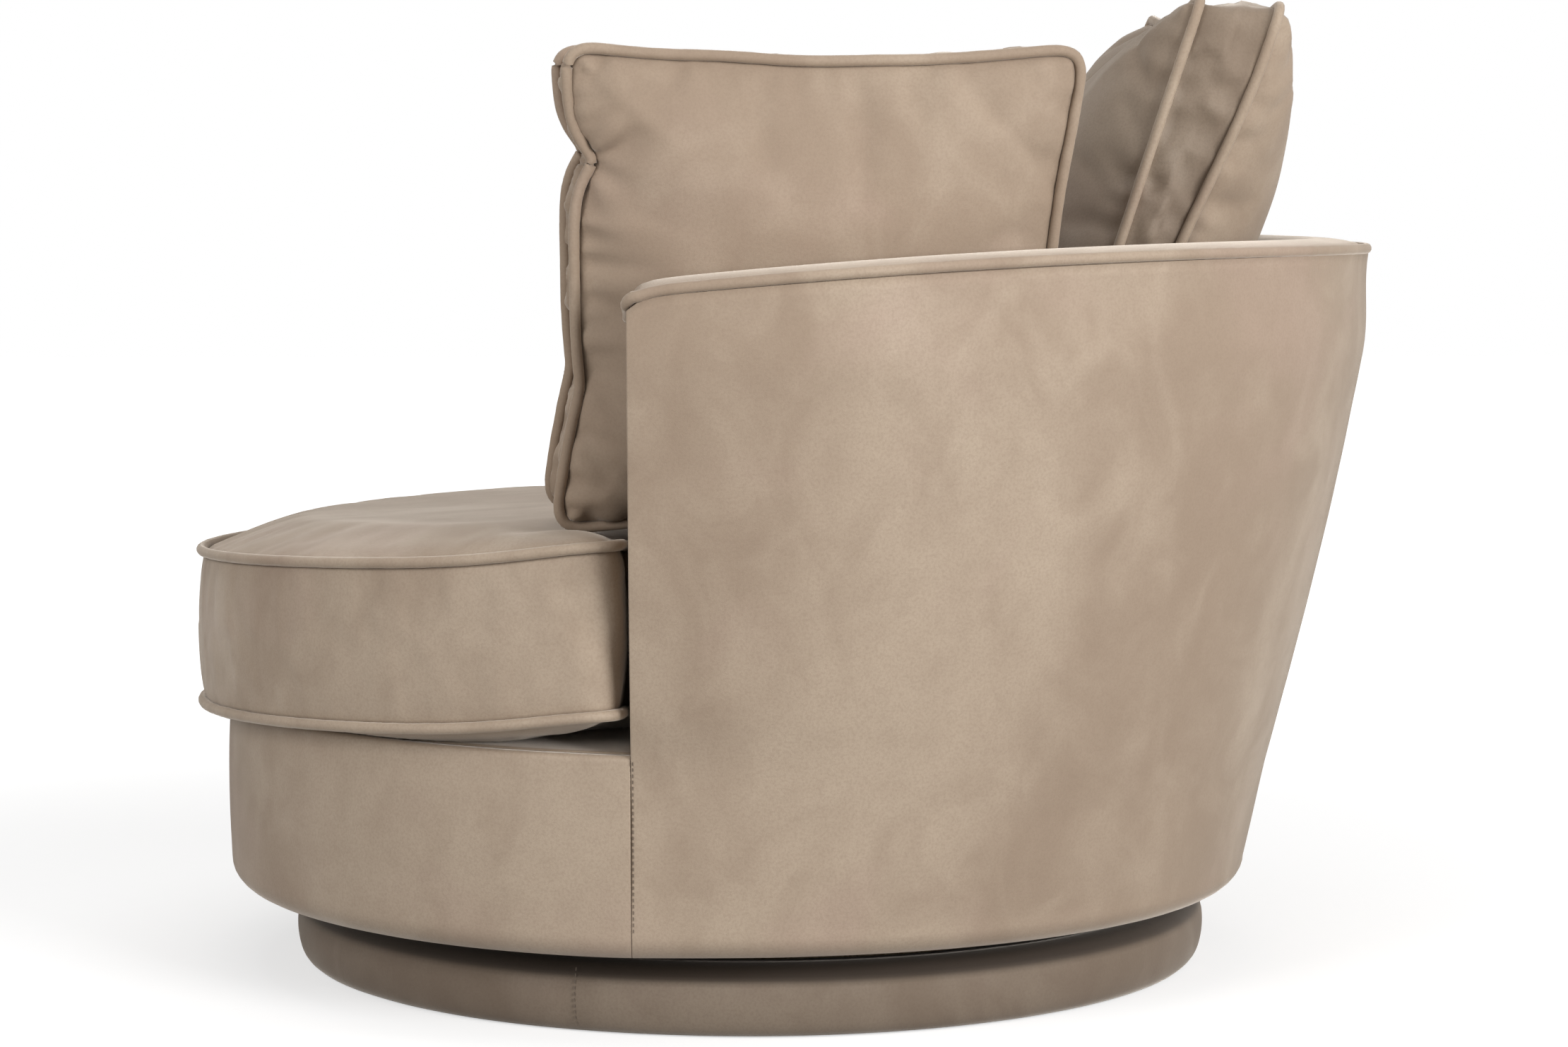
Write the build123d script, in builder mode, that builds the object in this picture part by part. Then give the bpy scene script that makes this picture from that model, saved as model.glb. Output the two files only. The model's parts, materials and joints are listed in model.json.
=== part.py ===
from build123d import *

import os
from math import atan2, cos, pi, radians, sin, sqrt

# Round swivel armchair on an upholstered plinth, with a loose T-shaped seat cushion and three loose
# back cushions. Millimetres. +Z is up, the chair faces -Y, and the seat turns about the Z axis.
# The origin is on the floor, under the swivel axis.

# Fits
layer_gap = 0.4
bolt_clearance = 0.2
running_clearance = 0.05

# Floor glides
glide_radius = 14.0
glide_height = 4.0
glide_circle_radius = 392.0
glide_count = 6

# Plinth drum
plinth_depth = 60.0
plinth_board_radius = 428.0
plinth_floor_thickness = 12.0
plinth_roof_thickness = 15.0
plinth_hoop_wall = 5.0
plinth_radius = 449.0
plinth_bulge = 8.0
plinth_flange = 30.0
block_length = 70.0
block_width = 40.0
outer_block_radius = 350.0
outer_block_count = 6
inner_block_radius = 215.0
inner_block_count = 4
screw_radius = 2.2
screw_head_radius = 4.6
screw_length = 38.0

# Swivel bearing
plate_side = 280.0
plate_corner = 22.0
plate_thickness = 3.0
plate_bolt_spacing = 230.0
bolt_radius = 4.0
bolt_head_radius = 8.0
bolt_head_height = 4.0
bolt_spare = 1.5
nut_flats = 13.0
nut_height = 6.5
ball_radius = 5.0
ball_circle_radius = 105.0
ball_count = 24
race_width = 22.0
race_floor = 1.0
cage_thickness = 2.0
cage_width = 18.0
cage_gap = 0.5
pivot_radius = 10.0
pivot_head_radius = 17.0
pivot_head_height = 8.0
pivot_bush_wall = 3.0
pivot_bush_rise = 6.0
pivot_washer_radius = 21.0
pivot_washer_thickness = 2.0
pivot_play = 0.3
pivot_nut_flats = 30.0
pivot_nut_height = 11.0
pivot_well_radius = 30.0

# Seat drum
seat_board_thickness = 18.0
seat_drum_radius = 516.0
seat_drum_round = 22.0
seat_flange = 46.0
apron_panel_radius = 500.0
apron_panel_wall = 6.0
deck_height = 265.0
deck_pad_thickness = 9.0
spring_rail_thickness = 18.0
spring_rail_inner_radius = 385.0
post_side = 38.0
post_angles = (-150.0, -120.0, -90.0, -60.0, -30.0)

# Zigzag seat springs
spring_wire_radius = 1.9
spring_count = 7
spring_spacing = 82.0
spring_half_width = 24.0
spring_pitch = 21.0
clip_wall = 1.2
clip_width = 18.0
clip_tail = 14.0
clip_clearance = 0.2

# Wraparound back and arms
arm_front = -105.0
back_foot_radius = 486.0
back_rail_radius = 620.0
rail_front_height = 670.0
rail_middle_height = 697.0
rail_back_height = 700.0
back_thickness = 100.0
back_foot_round = 14.0
cover_thickness = 2.0
outer_wadding_thickness = 7.6
panel_thickness = 4.0
rib_depth = 35.0
rib_thickness = 18.0
rib_angles = (25.0, 57.5, 90.0, 122.5, 155.0)
top_rail_height = 610.0
top_rail_thickness = 20.0
top_inner_round = 42.0
top_outer_round = 12.0
piping_radius = 5.0
bend_steps = 7
rail_steps = 20

# Seat cushion
seat_front_radius = 537.0
seat_rear_radius = 413.0
seat_arm_gap = 3.0
seat_ear_round = 26.0
seat_notch_round = 14.0
seat_border = 145.0
seat_crown = 22.0
seat_under_crown = 13.0
seat_crown_run = 80.0
zip_width = 14.0
zip_thickness = 1.4
zip_length = 300.0

# Back cushions
cushion_border = 70.0
cushion_dip = 11.0
cushion_corner = 24.0
side_cushion_width = 440.0
side_cushion_height = 427.0
side_cushion_front_crown = 82.0
side_cushion_back_crown = 46.0
side_cushion_lean = 12.0
side_cushion_turn = 9.0
side_cushion_reach = 406.0
side_cushion_sink = 14.0
rear_cushion_width = 458.0
rear_cushion_height = 466.0
rear_cushion_front_crown = 82.0
rear_cushion_back_crown = 83.0
rear_cushion_lean = 18.0
rear_cushion_reach = 382.0
rear_cushion_sink = 8.2

# Heights of the stack, from the floor up
plinth_floor_z = glide_height
plinth_floor_top_z = plinth_floor_z + plinth_floor_thickness
plinth_top_z = plinth_floor_z + plinth_depth
plinth_roof_z = plinth_top_z - plinth_roof_thickness
lower_plate_top_z = plinth_top_z + plate_thickness
groove_radius = ball_radius + running_clearance
ball_z = lower_plate_top_z + race_floor + groove_radius
race_lip = cage_thickness / 2 + cage_gap
upper_plate_z = ball_z + groove_radius + race_floor
upper_plate_top_z = upper_plate_z + plate_thickness
seat_board_top_z = upper_plate_top_z + seat_board_thickness
body_foot_z = upper_plate_top_z - cover_thickness - layer_gap
deck_pad_z = deck_height - cover_thickness - layer_gap - deck_pad_thickness
clip_rise = 2 * (clip_wall + clip_clearance + spring_wire_radius)
spring_rail_top_z = deck_pad_z - layer_gap - clip_rise
spring_rail_z = spring_rail_top_z - spring_rail_thickness
spring_z = spring_rail_top_z + clip_rise / 2
seat_under_piping_z = deck_height + 2 * layer_gap + seat_under_crown
seat_top_piping_z = seat_under_piping_z + seat_border
seat_top_z = seat_top_piping_z + seat_crown

# Depths of the back's layers, measured inwards from its outer face
wadding_inset = cover_thickness + layer_gap
outer_panel_inset = wadding_inset + outer_wadding_thickness + layer_gap
rib_inset = outer_panel_inset + panel_thickness + layer_gap
inner_panel_inset = rib_inset + rib_depth + layer_gap
foam_inset = inner_panel_inset + panel_thickness + layer_gap
back_slope = (back_rail_radius - back_foot_radius) / (rail_back_height - body_foot_z)
top_rail_top_z = top_rail_height + top_rail_thickness

os.makedirs("parts", exist_ok=True)


def write(piece, name):
    """Labels a finished piece and writes its STEP file."""
    piece.part.label = name
    export_step(piece.part, f"parts/{name}.step")


def wall_radius(z, inset=0.0):
    """Radius of the back's outer cone at a height, less an inset."""
    return back_foot_radius + (z - body_foot_z) * back_slope - inset


def wall_band(z_low, z_high, outer_inset, inner_inset):
    """Corners of a band of the back's wall in the radial plane, between two insets."""
    return [
        (wall_radius(z_low, outer_inset), z_low),
        (wall_radius(z_high, outer_inset), z_high),
        (wall_radius(z_high, inner_inset), z_high),
        (wall_radius(z_low, inner_inset), z_low),
    ]


def wall_ring(z_low, z_high, outer_inset, inner_inset, front):
    """A band of the back's wall, swept round the chair and cut off at the arm fronts."""
    with BuildPart() as ring:
        with BuildSketch(Plane.XZ):
            with BuildLine():
                Polyline(*wall_band(z_low, z_high, outer_inset, inner_inset), close=True)
            make_face()
        revolve(axis=Axis.Z)
        split(bisect_by=Plane.XZ.offset(-front), keep=Keep.BOTTOM)
    return ring


def drum_disc(z, thickness, front_radius, back_radius):
    """A round board that is wider in front of the arms than between them."""
    with BuildPart() as disc:
        with BuildSketch(Plane.XY.offset(z)):
            Circle(front_radius)
            with Locations((0, arm_front - layer_gap + front_radius)):
                Rectangle(2 * front_radius, 2 * front_radius, mode=Mode.SUBTRACT)
            Circle(back_radius)
        extrude(amount=thickness)
    return disc


# Floor glides: one under the swivel axis and a ring of them near the plinth's edge
with BuildPart() as glides:
    with BuildSketch():
        Circle(glide_radius)
        with PolarLocations(glide_circle_radius, glide_count):
            Circle(glide_radius)
    extrude(amount=glide_height)
    fillet(glides.edges().group_by(Axis.Z)[0], glide_height / 4)
write(glides, "glides")

# Plinth boards, with the screws that hold them to the blocks
def outer_blocks():
    """Places of the plinth's outer blocks, between the glides."""
    return PolarLocations(outer_block_radius, outer_block_count, start_angle=180 / outer_block_count)


def inner_blocks():
    """Places of the plinth's inner blocks, round the bearing."""
    return PolarLocations(inner_block_radius, inner_block_count)


def plate_bolts():
    """Places of the four bolts of a bearing plate."""
    return GridLocations(plate_bolt_spacing, plate_bolt_spacing, 2, 2)


with BuildPart() as plinth_floor_board:
    with BuildSketch(Plane.XY.offset(plinth_floor_z)):
        Circle(plinth_board_radius)
    extrude(amount=plinth_floor_thickness)
write(plinth_floor_board, "plinth_floor_board")

with BuildPart() as plinth_roof_board:
    with BuildSketch(Plane.XY.offset(plinth_roof_z)):
        Circle(plinth_board_radius)
        Circle(pivot_head_radius + pivot_radius / 2, mode=Mode.SUBTRACT)
        with plate_bolts():
            Circle(bolt_radius + bolt_clearance, mode=Mode.SUBTRACT)
    extrude(amount=plinth_roof_thickness)
    with Locations(Plane.XY.offset(plinth_top_z)):
        for blocks in (outer_blocks, inner_blocks):
            with blocks():
                CounterSinkHole(screw_radius + bolt_clearance, screw_head_radius + bolt_clearance)
write(plinth_roof_board, "plinth_roof_board")

with BuildPart() as plinth_blocks:
    with BuildSketch(Plane.XY.offset(plinth_floor_top_z)):
        for blocks in (outer_blocks, inner_blocks):
            with blocks():
                Rectangle(block_width, block_length)
                Circle(screw_radius + bolt_clearance, mode=Mode.SUBTRACT)
    extrude(amount=plinth_roof_z - plinth_floor_top_z)
write(plinth_blocks, "plinth_blocks")

screw_cone = screw_head_radius - screw_radius
with BuildPart() as plinth_screws:
    for blocks in (outer_blocks, inner_blocks):
        with BuildSketch(Plane.XY.offset(plinth_top_z)):
            with blocks():
                Circle(screw_head_radius)
        extrude(amount=-screw_cone, taper=45)
        with BuildSketch(Plane.XY.offset(plinth_top_z - screw_cone)):
            with blocks():
                Circle(screw_radius)
        extrude(amount=screw_cone - screw_length)
write(plinth_screws, "plinth_screws")

# Plinth wall: a bent hoop, wadding and the velvet sleeve that is turned over both boards
hoop_radius = plinth_board_radius + layer_gap
with BuildPart() as plinth_hoop:
    with BuildSketch(Plane.XY.offset(plinth_floor_z)):
        Circle(hoop_radius + plinth_hoop_wall)
        Circle(hoop_radius, mode=Mode.SUBTRACT)
    extrude(amount=plinth_depth)
write(plinth_hoop, "plinth_hoop")


def plinth_section(inset, inner_radius):
    """Radial section of the plinth's padded wall, bulging at mid height."""
    low = plinth_floor_z - cover_thickness - layer_gap + inset
    high = plinth_top_z + cover_thickness + layer_gap - inset
    edge = plinth_radius - plinth_bulge - inset
    with BuildSketch(Plane.XZ) as section:
        with BuildLine():
            Line((inner_radius, low), (edge, low))
            ThreePointArc((edge, low), (plinth_radius - inset, (low + high) / 2), (edge, high))
            Polyline((edge, high), (inner_radius, high), (inner_radius, low))
        make_face()
    return section.sketch


plinth_wadding_section = plinth_section(wadding_inset, hoop_radius + plinth_hoop_wall + layer_gap)
with BuildPart() as plinth_wadding:
    revolve(plinth_wadding_section, axis=Axis.Z)
write(plinth_wadding, "plinth_wadding")

plinth_flange_radius = plinth_radius - plinth_bulge - plinth_flange
plinth_cover_outside = plinth_section(0, plinth_flange_radius)
plinth_cover_inside = plinth_section(cover_thickness, plinth_flange_radius / 2)
with BuildPart() as plinth_cover:
    revolve(plinth_cover_outside, axis=Axis.Z)
    revolve(plinth_cover_inside, axis=Axis.Z, mode=Mode.SUBTRACT)
write(plinth_cover, "plinth_cover")


def swivel_plate(plate_z, race_z, race_end_z, centre_radius):
    """A square bearing plate with its grooved ball race and bolt holes."""
    race_radii = (ball_circle_radius + race_width / 2, ball_circle_radius - race_width / 2)
    with BuildPart() as plate:
        with BuildSketch(Plane.XY.offset(plate_z)):
            RectangleRounded(plate_side, plate_side, plate_corner)
        extrude(amount=plate_thickness)
        with BuildSketch(Plane.XY.offset(race_z)):
            Circle(race_radii[0])
            Circle(race_radii[1], mode=Mode.SUBTRACT)
        extrude(amount=race_end_z - race_z)
        with Locations((0, 0, ball_z)):
            Torus(ball_circle_radius, groove_radius, mode=Mode.SUBTRACT)
        with Locations(Plane.XY.offset(plate_z + plate_thickness)):
            Hole(centre_radius, depth=plate_thickness)
            with plate_bolts():
                Hole(bolt_radius + bolt_clearance, depth=plate_thickness)
    return plate


lower_swivel_plate = swivel_plate(
    plinth_top_z, lower_plate_top_z, ball_z - race_lip, pivot_radius + running_clearance
)
write(lower_swivel_plate, "lower_swivel_plate")
bush_outer_radius = pivot_radius + running_clearance + pivot_bush_wall
upper_swivel_plate = swivel_plate(
    upper_plate_z, upper_plate_z, ball_z + race_lip, bush_outer_radius + running_clearance
)
write(upper_swivel_plate, "upper_swivel_plate")

with BuildPart() as bearing_balls:
    with Locations((0, 0, ball_z)):
        with PolarLocations(ball_circle_radius, ball_count):
            Sphere(ball_radius)
write(bearing_balls, "bearing_balls")

with BuildPart() as ball_cage:
    with BuildSketch(Plane.XY.offset(ball_z - cage_thickness / 2)):
        Circle(ball_circle_radius + cage_width / 2)
        Circle(ball_circle_radius - cage_width / 2, mode=Mode.SUBTRACT)
        with PolarLocations(ball_circle_radius, ball_count):
            Circle(ball_radius + bolt_clearance, mode=Mode.SUBTRACT)
    extrude(amount=cage_thickness)
write(ball_cage, "ball_cage")

# Pivot bolt, standing in the lower plate, with the bush that turns on it
bush_top_z = upper_plate_top_z + pivot_bush_rise
pivot_washer_z = bush_top_z + pivot_play
pivot_nut_z = pivot_washer_z + pivot_washer_thickness

with BuildPart() as pivot_bolt:
    with BuildSketch(Plane.XY.offset(plinth_top_z)):
        Circle(pivot_head_radius)
    extrude(amount=-pivot_head_height)
    with BuildSketch(Plane.XY.offset(plinth_top_z)):
        Circle(pivot_radius)
    extrude(amount=pivot_nut_z + pivot_nut_height - plinth_top_z)
write(pivot_bolt, "pivot_bolt")


def round_sleeve(z, height, outer_radius, bore_radius):
    """A plain ring on the swivel axis."""
    with BuildPart() as sleeve:
        with BuildSketch(Plane.XY.offset(z)):
            Circle(outer_radius)
            Circle(bore_radius, mode=Mode.SUBTRACT)
        extrude(amount=height)
    return sleeve


pivot_bore = pivot_radius + running_clearance
pivot_bush = round_sleeve(upper_plate_z, bush_top_z - upper_plate_z, bush_outer_radius, pivot_bore)
write(pivot_bush, "pivot_bush")
pivot_washer = round_sleeve(pivot_washer_z, pivot_washer_thickness, pivot_washer_radius, pivot_bore)
write(pivot_washer, "pivot_washer")

with BuildPart() as pivot_nut:
    with BuildSketch(Plane.XY.offset(pivot_nut_z)):
        RegularPolygon(pivot_nut_flats / 2, 6, major_radius=False)
        Circle(pivot_bore, mode=Mode.SUBTRACT)
    extrude(amount=pivot_nut_height)
write(pivot_nut, "pivot_nut")


def plate_fasteners(head_z, nut_z, up):
    """Four bolts from a bearing plate through its board, and their nuts. up is 1 or -1."""
    with BuildPart() as bolts:
        with BuildSketch(Plane.XY.offset(head_z)):
            with plate_bolts():
                Circle(bolt_head_radius)
        extrude(amount=-up * bolt_head_height)
        with BuildSketch(Plane.XY.offset(head_z)):
            with plate_bolts():
                Circle(bolt_radius)
        extrude(amount=nut_z - head_z + up * (nut_height + bolt_spare))
    with BuildPart() as nuts:
        with BuildSketch(Plane.XY.offset(nut_z)):
            with plate_bolts():
                RegularPolygon(nut_flats / 2, 6, major_radius=False)
                Circle(bolt_radius + running_clearance, mode=Mode.SUBTRACT)
        extrude(amount=up * nut_height)
    return bolts, nuts


lower_plate_bolts, lower_plate_nuts = plate_fasteners(lower_plate_top_z, plinth_roof_z, -1)
write(lower_plate_bolts, "lower_plate_bolts")
write(lower_plate_nuts, "lower_plate_nuts")
upper_plate_bolts, upper_plate_nuts = plate_fasteners(upper_plate_z, seat_board_top_z, 1)
write(upper_plate_bolts, "upper_plate_bolts")
write(upper_plate_nuts, "upper_plate_nuts")

# Seat drum: base board, bent apron panel, posts and the ring that carries the springs
seat_board_front = apron_panel_radius - apron_panel_wall - layer_gap
seat_board_back = wall_radius(upper_plate_top_z, rib_inset)
seat_board_blank = drum_disc(upper_plate_top_z, seat_board_thickness, seat_board_front, seat_board_back)
with BuildPart() as seat_base_board:
    add(seat_board_blank.part)
    with Locations(Plane.XY.offset(seat_board_top_z)):
        Hole(pivot_well_radius, depth=seat_board_thickness)
        with plate_bolts():
            Hole(bolt_radius + bolt_clearance, depth=seat_board_thickness)
write(seat_base_board, "seat_base_board")

apron_panel_z = body_foot_z + seat_drum_round / 2
with BuildPart() as apron_panel:
    with BuildSketch(Plane.XY.offset(apron_panel_z)):
        Circle(apron_panel_radius)
        Circle(apron_panel_radius - apron_panel_wall, mode=Mode.SUBTRACT)
    extrude(amount=deck_pad_z - layer_gap - apron_panel_z)
    split(bisect_by=Plane.XZ.offset(-arm_front + layer_gap), keep=Keep.TOP)
write(apron_panel, "apron_panel")


def apron_section(inset, inner_radius, top):
    """Radial section of the padded apron, rounded where it turns under the seat."""
    foot = body_foot_z + inset
    edge = seat_drum_radius - inset
    turn = seat_drum_round - inset
    with BuildSketch(Plane.XZ) as section:
        with BuildLine():
            Line((inner_radius, foot), (edge - turn, foot))
            RadiusArc((edge - turn, foot), (edge, foot + turn), -turn)
            Polyline((edge, foot + turn), (edge, top), (inner_radius, top), (inner_radius, foot))
        make_face()
    return section.sketch


seat_flange_radius = back_foot_radius - seat_flange
apron_cover_outside = apron_section(0, seat_flange_radius, deck_height)
apron_cover_inside = apron_section(cover_thickness, seat_flange_radius / 2, deck_height + seat_drum_round)
with BuildPart() as apron_cover:
    revolve(apron_cover_outside, axis=Axis.Z)
    revolve(apron_cover_inside, axis=Axis.Z, mode=Mode.SUBTRACT)
    split(bisect_by=Plane.XZ.offset(-arm_front + layer_gap), keep=Keep.TOP)
write(apron_cover, "apron_cover")

apron_wadding_section = apron_section(wadding_inset, seat_flange_radius, deck_pad_z - layer_gap)
with BuildPart() as apron_wadding:
    revolve(apron_wadding_section, axis=Axis.Z)
    with BuildSketch():
        Circle(apron_panel_radius + layer_gap)
    extrude(amount=deck_height, mode=Mode.SUBTRACT)
    split(bisect_by=Plane.XZ.offset(-arm_front + layer_gap), keep=Keep.TOP)
write(apron_wadding, "apron_wadding")

with BuildPart() as base_dust_cover:
    with BuildSketch(Plane.XY.offset(body_foot_z + cover_thickness / 2)):
        Circle(seat_flange_radius - layer_gap)
        Circle(plate_side / sqrt(2), mode=Mode.SUBTRACT)
    extrude(amount=cover_thickness / 2)
write(base_dust_cover, "base_dust_cover")

spring_rail_back = wall_radius(spring_rail_z, rib_inset + rib_depth + layer_gap)
spring_rail_blank = drum_disc(spring_rail_z, spring_rail_thickness, seat_board_front, spring_rail_back)
with BuildPart() as spring_rail:
    add(spring_rail_blank.part)
    with Locations(Plane.XY.offset(spring_rail_top_z)):
        Hole(spring_rail_inner_radius, depth=spring_rail_thickness)
write(spring_rail, "spring_rail")

with BuildPart() as seat_posts:
    with BuildSketch(Plane.XY.offset(seat_board_top_z)):
        for angle in post_angles:
            with PolarLocations((spring_rail_inner_radius + seat_board_front) / 2, 1, start_angle=angle):
                Rectangle(post_side, post_side)
    extrude(amount=spring_rail_z - seat_board_top_z)
write(seat_posts, "seat_posts")

# Zigzag springs across the seat, hooked under clips on the spring rail
spring_columns = [(i - (spring_count - 1) / 2) * spring_spacing for i in range(spring_count)]
clip_reach = spring_rail_inner_radius + clip_tail


def spring_span(x):
    """Distance from the middle of the seat to a spring's end bar."""
    return sqrt(clip_reach**2 - (abs(x) + spring_half_width) ** 2)


with BuildPart() as zigzag_springs:
    for x in spring_columns:
        bars = 2 * round(spring_span(x) / spring_pitch) + 1
        step = 2 * spring_span(x) / (bars - 1)
        corners = []
        for i in range(bars):
            side = spring_half_width if i % 2 else -spring_half_width
            y = i * step - spring_span(x)
            corners += [(x - side, y, spring_z), (x + side, y, spring_z)]
        with BuildLine() as wire_line:
            FilletPolyline(*corners, radius=step * 0.45)
        with BuildSketch(Plane(corners[0], z_dir=wire_line.line % 0)):
            Circle(spring_wire_radius)
        sweep(path=wire_line.line)
write(zigzag_springs, "zigzag_springs")

clip_bore = spring_wire_radius + clip_clearance
with BuildPart() as spring_clips:
    for x in spring_columns:
        for side in (-1, 1):
            clip_start = (x - clip_width / 2, side * spring_span(x), spring_z)
            clip_plane = Plane(clip_start, x_dir=(0, side, 0), z_dir=(side, 0, 0))
            with BuildSketch(clip_plane):
                Circle(clip_bore + clip_wall)
                with Locations((0, -side * (clip_bore + clip_wall / 2))):
                    Rectangle(clip_tail, clip_wall, align=(Align.MIN, Align.CENTER))
                Circle(clip_bore, mode=Mode.SUBTRACT)
            extrude(amount=side * clip_width)
write(spring_clips, "spring_clips")

# Deck: a felt pad over the springs and its cloth
deck_front = seat_drum_radius - cover_thickness - layer_gap
deck_back = wall_radius(deck_pad_z, back_thickness + layer_gap)
deck_pad = drum_disc(deck_pad_z, deck_pad_thickness, deck_front, deck_back)
write(deck_pad, "deck_pad")
deck_cover = drum_disc(deck_height - cover_thickness, cover_thickness, deck_front, deck_back)
write(deck_cover, "deck_cover")

# Frame of the back: plywood ribs, arm posts, a bent top rail and two skins
rib_band = wall_band(seat_board_top_z, top_rail_height, rib_inset, rib_inset + rib_depth)
with BuildPart() as back_ribs:
    for angle in rib_angles:
        rib_out = (cos(radians(angle)), sin(radians(angle)), 0)
        rib_normal = (sin(radians(angle)), -cos(radians(angle)), 0)
        rib_plane = Plane((0, 0, 0), x_dir=rib_out, z_dir=rib_normal)
        with BuildSketch(rib_plane):
            with BuildLine():
                Polyline(*rib_band, close=True)
            make_face()
        extrude(amount=rib_thickness / 2, both=True)
write(back_ribs, "back_ribs")

frame_front = arm_front + cover_thickness + 2 * layer_gap
arm_post_ring = wall_ring(seat_board_top_z, top_rail_height, rib_inset, rib_inset + rib_depth, frame_front)
with BuildPart() as arm_posts:
    add(arm_post_ring.part)
    split(bisect_by=Plane.XZ.offset(-frame_front - rib_thickness), keep=Keep.TOP)
write(arm_posts, "arm_posts")

top_rail = wall_ring(top_rail_height, top_rail_top_z, rib_inset, rib_inset + rib_depth, frame_front)
write(top_rail, "top_rail")
back_outer_panel = wall_ring(
    upper_plate_top_z + back_foot_round / 4,
    top_rail_top_z,
    outer_panel_inset,
    outer_panel_inset + panel_thickness,
    frame_front,
)
write(back_outer_panel, "back_outer_panel")
back_inner_panel = wall_ring(
    spring_rail_top_z + layer_gap,
    top_rail_top_z,
    inner_panel_inset,
    inner_panel_inset + panel_thickness,
    frame_front,
)
write(back_inner_panel, "back_inner_panel")
back_outer_wadding = wall_ring(
    body_foot_z + back_foot_round,
    top_rail_top_z,
    wadding_inset,
    wadding_inset + outer_wadding_thickness,
    frame_front,
)
write(back_outer_wadding, "back_outer_wadding")

# Rail line: the arc that the top of the arms and back follows, seen from the side
rail_points = (
    (arm_front, rail_front_height),
    ((arm_front + back_rail_radius) / 2, rail_middle_height),
    (back_rail_radius, rail_back_height),
)


def rail_height(y):
    """Height of the rail line, a parabola through its three given points."""
    (a, za), (b, zb), (c, zc) = rail_points
    return (
        za * (y - b) * (y - c) / ((a - b) * (a - c))
        + zb * (y - a) * (y - c) / ((b - a) * (b - c))
        + zc * (y - a) * (y - b) / ((c - a) * (c - b))
    )


def rail_cutter(drop):
    """Everything above the rail line, lowered by a drop."""
    ends = (arm_front - back_thickness, back_rail_radius + back_thickness)
    line = [(y, rail_height(y) - drop) for y in (ends[0], (ends[0] + ends[1]) / 2, ends[1])]
    ceiling = rail_back_height + 2 * back_thickness
    with BuildPart() as cutter:
        with BuildSketch(Plane.YZ):
            with BuildLine():
                ThreePointArc(*line)
                Polyline(line[2], (ends[1], ceiling), (ends[0], ceiling), line[0])
            make_face()
        extrude(amount=2 * back_rail_radius, both=True)
    return cutter


def back_envelope(inset, foot):
    """The padded wall of back and arms, rounded over the rail and down the arm fronts."""
    ceiling = rail_back_height + back_thickness
    blank = wall_ring(foot, ceiling, wadding_inset + inset, back_thickness - inset, arm_front + inset)
    cutter = rail_cutter(inset)
    with BuildPart() as envelope:
        add(blank.part)
        add(cutter.part, mode=Mode.SUBTRACT)
        top = envelope.faces().sort_by(Axis.Z)[-1]
        fillet(top.edges().sort_by(Edge.length)[-2], top_inner_round - inset)
        top = envelope.faces().sort_by(Axis.Z)[-1]
        fillet(top.edges().sort_by(Edge.length)[-1], top_outer_round - inset)
        arm_ends = envelope.faces().filter_by(Plane.XZ).edges()
        fillet(arm_ends.filter_by(lambda edge: edge.center().Z > deck_height), top_outer_round - inset)
    return envelope


foam_foot_z = spring_rail_top_z + layer_gap
frame_space = wall_ring(0, top_rail_top_z + layer_gap, -back_thickness, foam_inset, 2 * arm_front)
cover_space_top = top_rail_top_z + layer_gap
cover_space = wall_ring(0, cover_space_top, -back_thickness, foam_inset, arm_front + cover_thickness)
envelope_outside = back_envelope(0, foam_foot_z)
envelope_lining = back_envelope(cover_thickness, spring_rail_z)
with BuildPart() as inside_back_cover:
    add(envelope_outside.part)
    add(envelope_lining.part, mode=Mode.SUBTRACT)
    add(cover_space.part, mode=Mode.SUBTRACT)
write(inside_back_cover, "inside_back_cover")

envelope_foam = back_envelope(wadding_inset, foam_foot_z)
with BuildPart() as back_foam:
    add(envelope_foam.part)
    add(frame_space.part, mode=Mode.SUBTRACT)
write(back_foam, "back_foam")

# Outside cover, from under the seat board up to the piping


def back_section(inset, inner_radius):
    """Radial section of everything inside the back's outer face, rounded at its foot."""
    foot = body_foot_z + inset
    high = rail_back_height + back_thickness
    turn = back_foot_round - inset
    edge = wall_radius(body_foot_z, inset)
    with BuildSketch(Plane.XZ) as section:
        with BuildLine():
            Line((inner_radius, foot), (edge - turn, foot))
            RadiusArc((edge - turn, foot), (wall_radius(foot + turn, inset), foot + turn), -turn)
            Polyline(
                (wall_radius(foot + turn, inset), foot + turn),
                (wall_radius(high, inset), high),
                (inner_radius, high),
                (inner_radius, foot),
            )
        make_face()
    return section.sketch


outside_cover_section = back_section(0, seat_flange_radius)
outside_lining_section = back_section(cover_thickness, seat_flange_radius / 2)
outside_cover_cutter = rail_cutter(piping_radius + layer_gap)
with BuildPart() as outside_back_cover:
    revolve(outside_cover_section, axis=Axis.Z)
    revolve(outside_lining_section, axis=Axis.Z, mode=Mode.SUBTRACT)
    add(outside_cover_cutter.part, mode=Mode.SUBTRACT)
    split(bisect_by=Plane.XZ.offset(-arm_front), keep=Keep.BOTTOM)
write(outside_back_cover, "outside_back_cover")


# Rail piping: along the outer edge of the rail, turned in across the top of each arm front


bead_reach = sqrt((top_outer_round + piping_radius + layer_gap) ** 2 - top_outer_round**2)


def rail_point(angle):
    """The seat of the rail piping at an angle about the swivel axis."""
    radius = back_rail_radius
    for _ in range(9):
        edge = wall_radius(rail_height(radius * sin(angle)), wadding_inset)
        radius = edge - top_outer_round + bead_reach
    return Vector(radius * cos(angle), radius * sin(angle), rail_height(radius * sin(angle)))


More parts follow.
